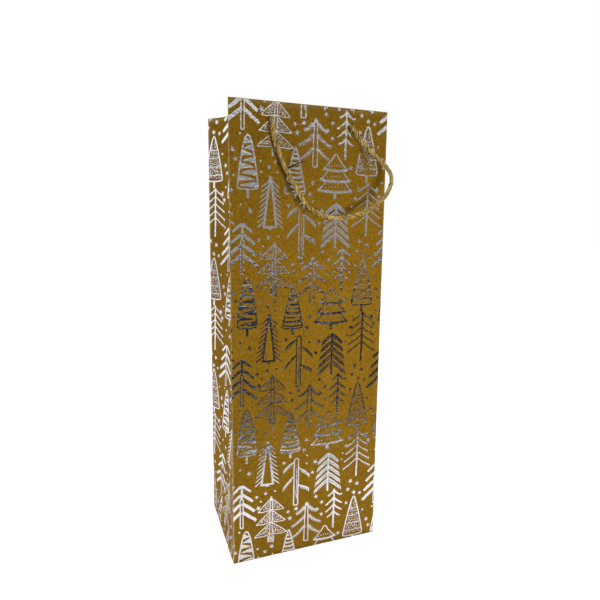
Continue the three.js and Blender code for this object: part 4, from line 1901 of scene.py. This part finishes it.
@dataclass(frozen=True)
class Studio:
    """A pale table that ends a little way in front of the bag, and a soft sky of light panels.

    The foil mirrors the table darker towards its front edge than the camera sees it, and it doesn't
    mirror the side and fill panels.
    """

    table_front: float = -0.33
    table_far: float = 5.0
    pale: Colour = (0.76, 0.76, 0.76)
    front: Colour = (0.06, 0.06, 0.06)
    front_fill: float = 0.12

    def build(self) -> None:
        """Makes the table, the lights and the surroundings."""
        self.table()
        self.surroundings()
        self.panel_light("key_panel", (-1.1, -1.5, 1.7), 1.3, 4)
        self.panel_light("top_panel", (0.2, 0.1, 2.2), 1.6, 18)
        side = self.panel_light("side_panel", (-1.2, 0.05, 0.35), 0.6, 4)
        fill = self.panel_light("fill_panel", (0.06, -0.34, 0.20), 0.10, 0.78)
        for light in (side, fill):
            light.visible_glossy = False
            light.visible_camera = False
        bpy.context.scene.view_settings.view_transform = "Standard"

    def table(self) -> None:
        """The floor, under the bag's base."""
        far = self.table_far
        corners = np.array([[-far, self.table_front, 0], [far, self.table_front, 0], [far, far, 0],
                            [-far, far, 0]], float)
        corners[:, 2] = -0.15 * MM
        material, shader = new_shader("pale_table")
        place = shader.node("ShaderNodeTexCoord", output="Object")
        back = shader.node("ShaderNodeSeparateXYZ", None, {"Vector": place}, output=1)
        seen = shader.node("ShaderNodeLightPath", output="Is Camera Ray")
        mirrored = shader.blend(back.ramp(-0.26, -0.11), self.front, self.pale)
        shader.principled({
            "Base Color": shader.blend(seen, mirrored, self.pale),
            "Roughness": 0.9,
            "Specular IOR Level": 0.1,
            "Emission Color": shader.blend(seen, (0, 0, 0), (1, 1, 1)),
            "Emission Strength": 0.42,
        })
        Shape(corners, [np.array([[0, 1, 2, 3]])]).piece("table", material, smooth=False)

    def surroundings(self) -> None:
        """The world: white to the camera; to the foil, bright above and at the sides, with a dark
        low band and uneven grey in front; to matt surfaces, evenly dim in front."""
        world = bpy.data.worlds.new("studio")
        bpy.context.scene.world = world
        shader = Shader(world)
        direction = shader.node("ShaderNodeTexCoord", output="Generated")
        split_up = {"Vector": direction}
        height = shader.node("ShaderNodeSeparateXYZ", None, split_up, output=2)
        ahead = shader.node("ShaderNodeSeparateXYZ", None, split_up, output=1)
        share = height * 0.5 + 0.5

        def grey(level: float) -> Colour:
            """A grey of one level."""
            return (level, level, level)

        clutter = shader.noise(direction, (9, 9, 9), 2).ramp(0.35, 0.65)
        front = shader.node("ShaderNodeValToRGB", {"stops": [
            (0.255, grey(0.60)), (0.30, grey(0.20)), (0.345, grey(0.02)), (0.40, grey(0.01)),
            (0.43, grey(0.02)), (0.475, grey(0.46)), (0.57, grey(0.46)), (0.60, grey(1.0)),
            (0.75, grey(1.3))]}, {"Fac": share})
        around = shader.node("ShaderNodeValToRGB", {"stops": [
            (0.45, grey(0.95)), (0.60, grey(1.0)), (1.0, grey(1.15))]}, {"Fac": share})
        facing = (0 - ahead).ramp(0.05, 0.45)
        front = shader.blend(clutter, shader.blend(0.68, front, grey(0.0)), front)
        seen = shader.node("ShaderNodeLightPath", output="Is Camera Ray")
        matt = shader.node("ShaderNodeLightPath", output="Is Diffuse Ray")
        front = shader.blend(matt, front, grey(self.front_fill))
        colour = shader.blend(seen, shader.blend(facing, around, front), grey(1.0))
        background = shader.node("ShaderNodeBackground", None, {"Color": colour, "Strength": 1.0})
        output = shader.tree.nodes.new("ShaderNodeOutputWorld")
        shader.tree.links.new(background.link, output.inputs["Surface"])

    @staticmethod
    def panel_light(name: str, place: Colour, size: float, power: float) -> bpy.types.Object:
        """A square light panel that faces the middle of the bag."""
        data = bpy.data.lights.new(name, "AREA")
        data.size, data.energy = size, power
        light = bpy.data.objects.new(name, data)
        bpy.context.scene.collection.objects.link(light)
        light.location = place
        aim = Vector((0, 0, 0.18)) - Vector(place)
        light.rotation_euler = aim.to_track_quat("-Z", "Y").to_euler()
        return light


def main() -> None:
    """Builds the camera, the handles, the paper bag and the studio, and logs each piece."""
    logging.basicConfig(level=logging.INFO, format="%(name)s: %(message)s")
    Camera().build()
    jute = TwineFinish().material()
    made: list[bpy.types.Object] = []
    made += Handle("front", FRONT_ROUTE, -1, Twine(), 5, FRONT_STRAYS, 1.3).build(jute)
    made += Handle("back", BACK_ROUTE, 1, Twine(), 6).build(jute)
    paper_bag = PaperBag(BagForm.from_frame())
    made += paper_bag.build()
    paper_bag.dress_hidden()
    Studio().build()
    for piece in made:
        LOG.info("%s: %d faces", piece.name, len(piece.data.polygons))


if __name__ == "__main__":
    main()
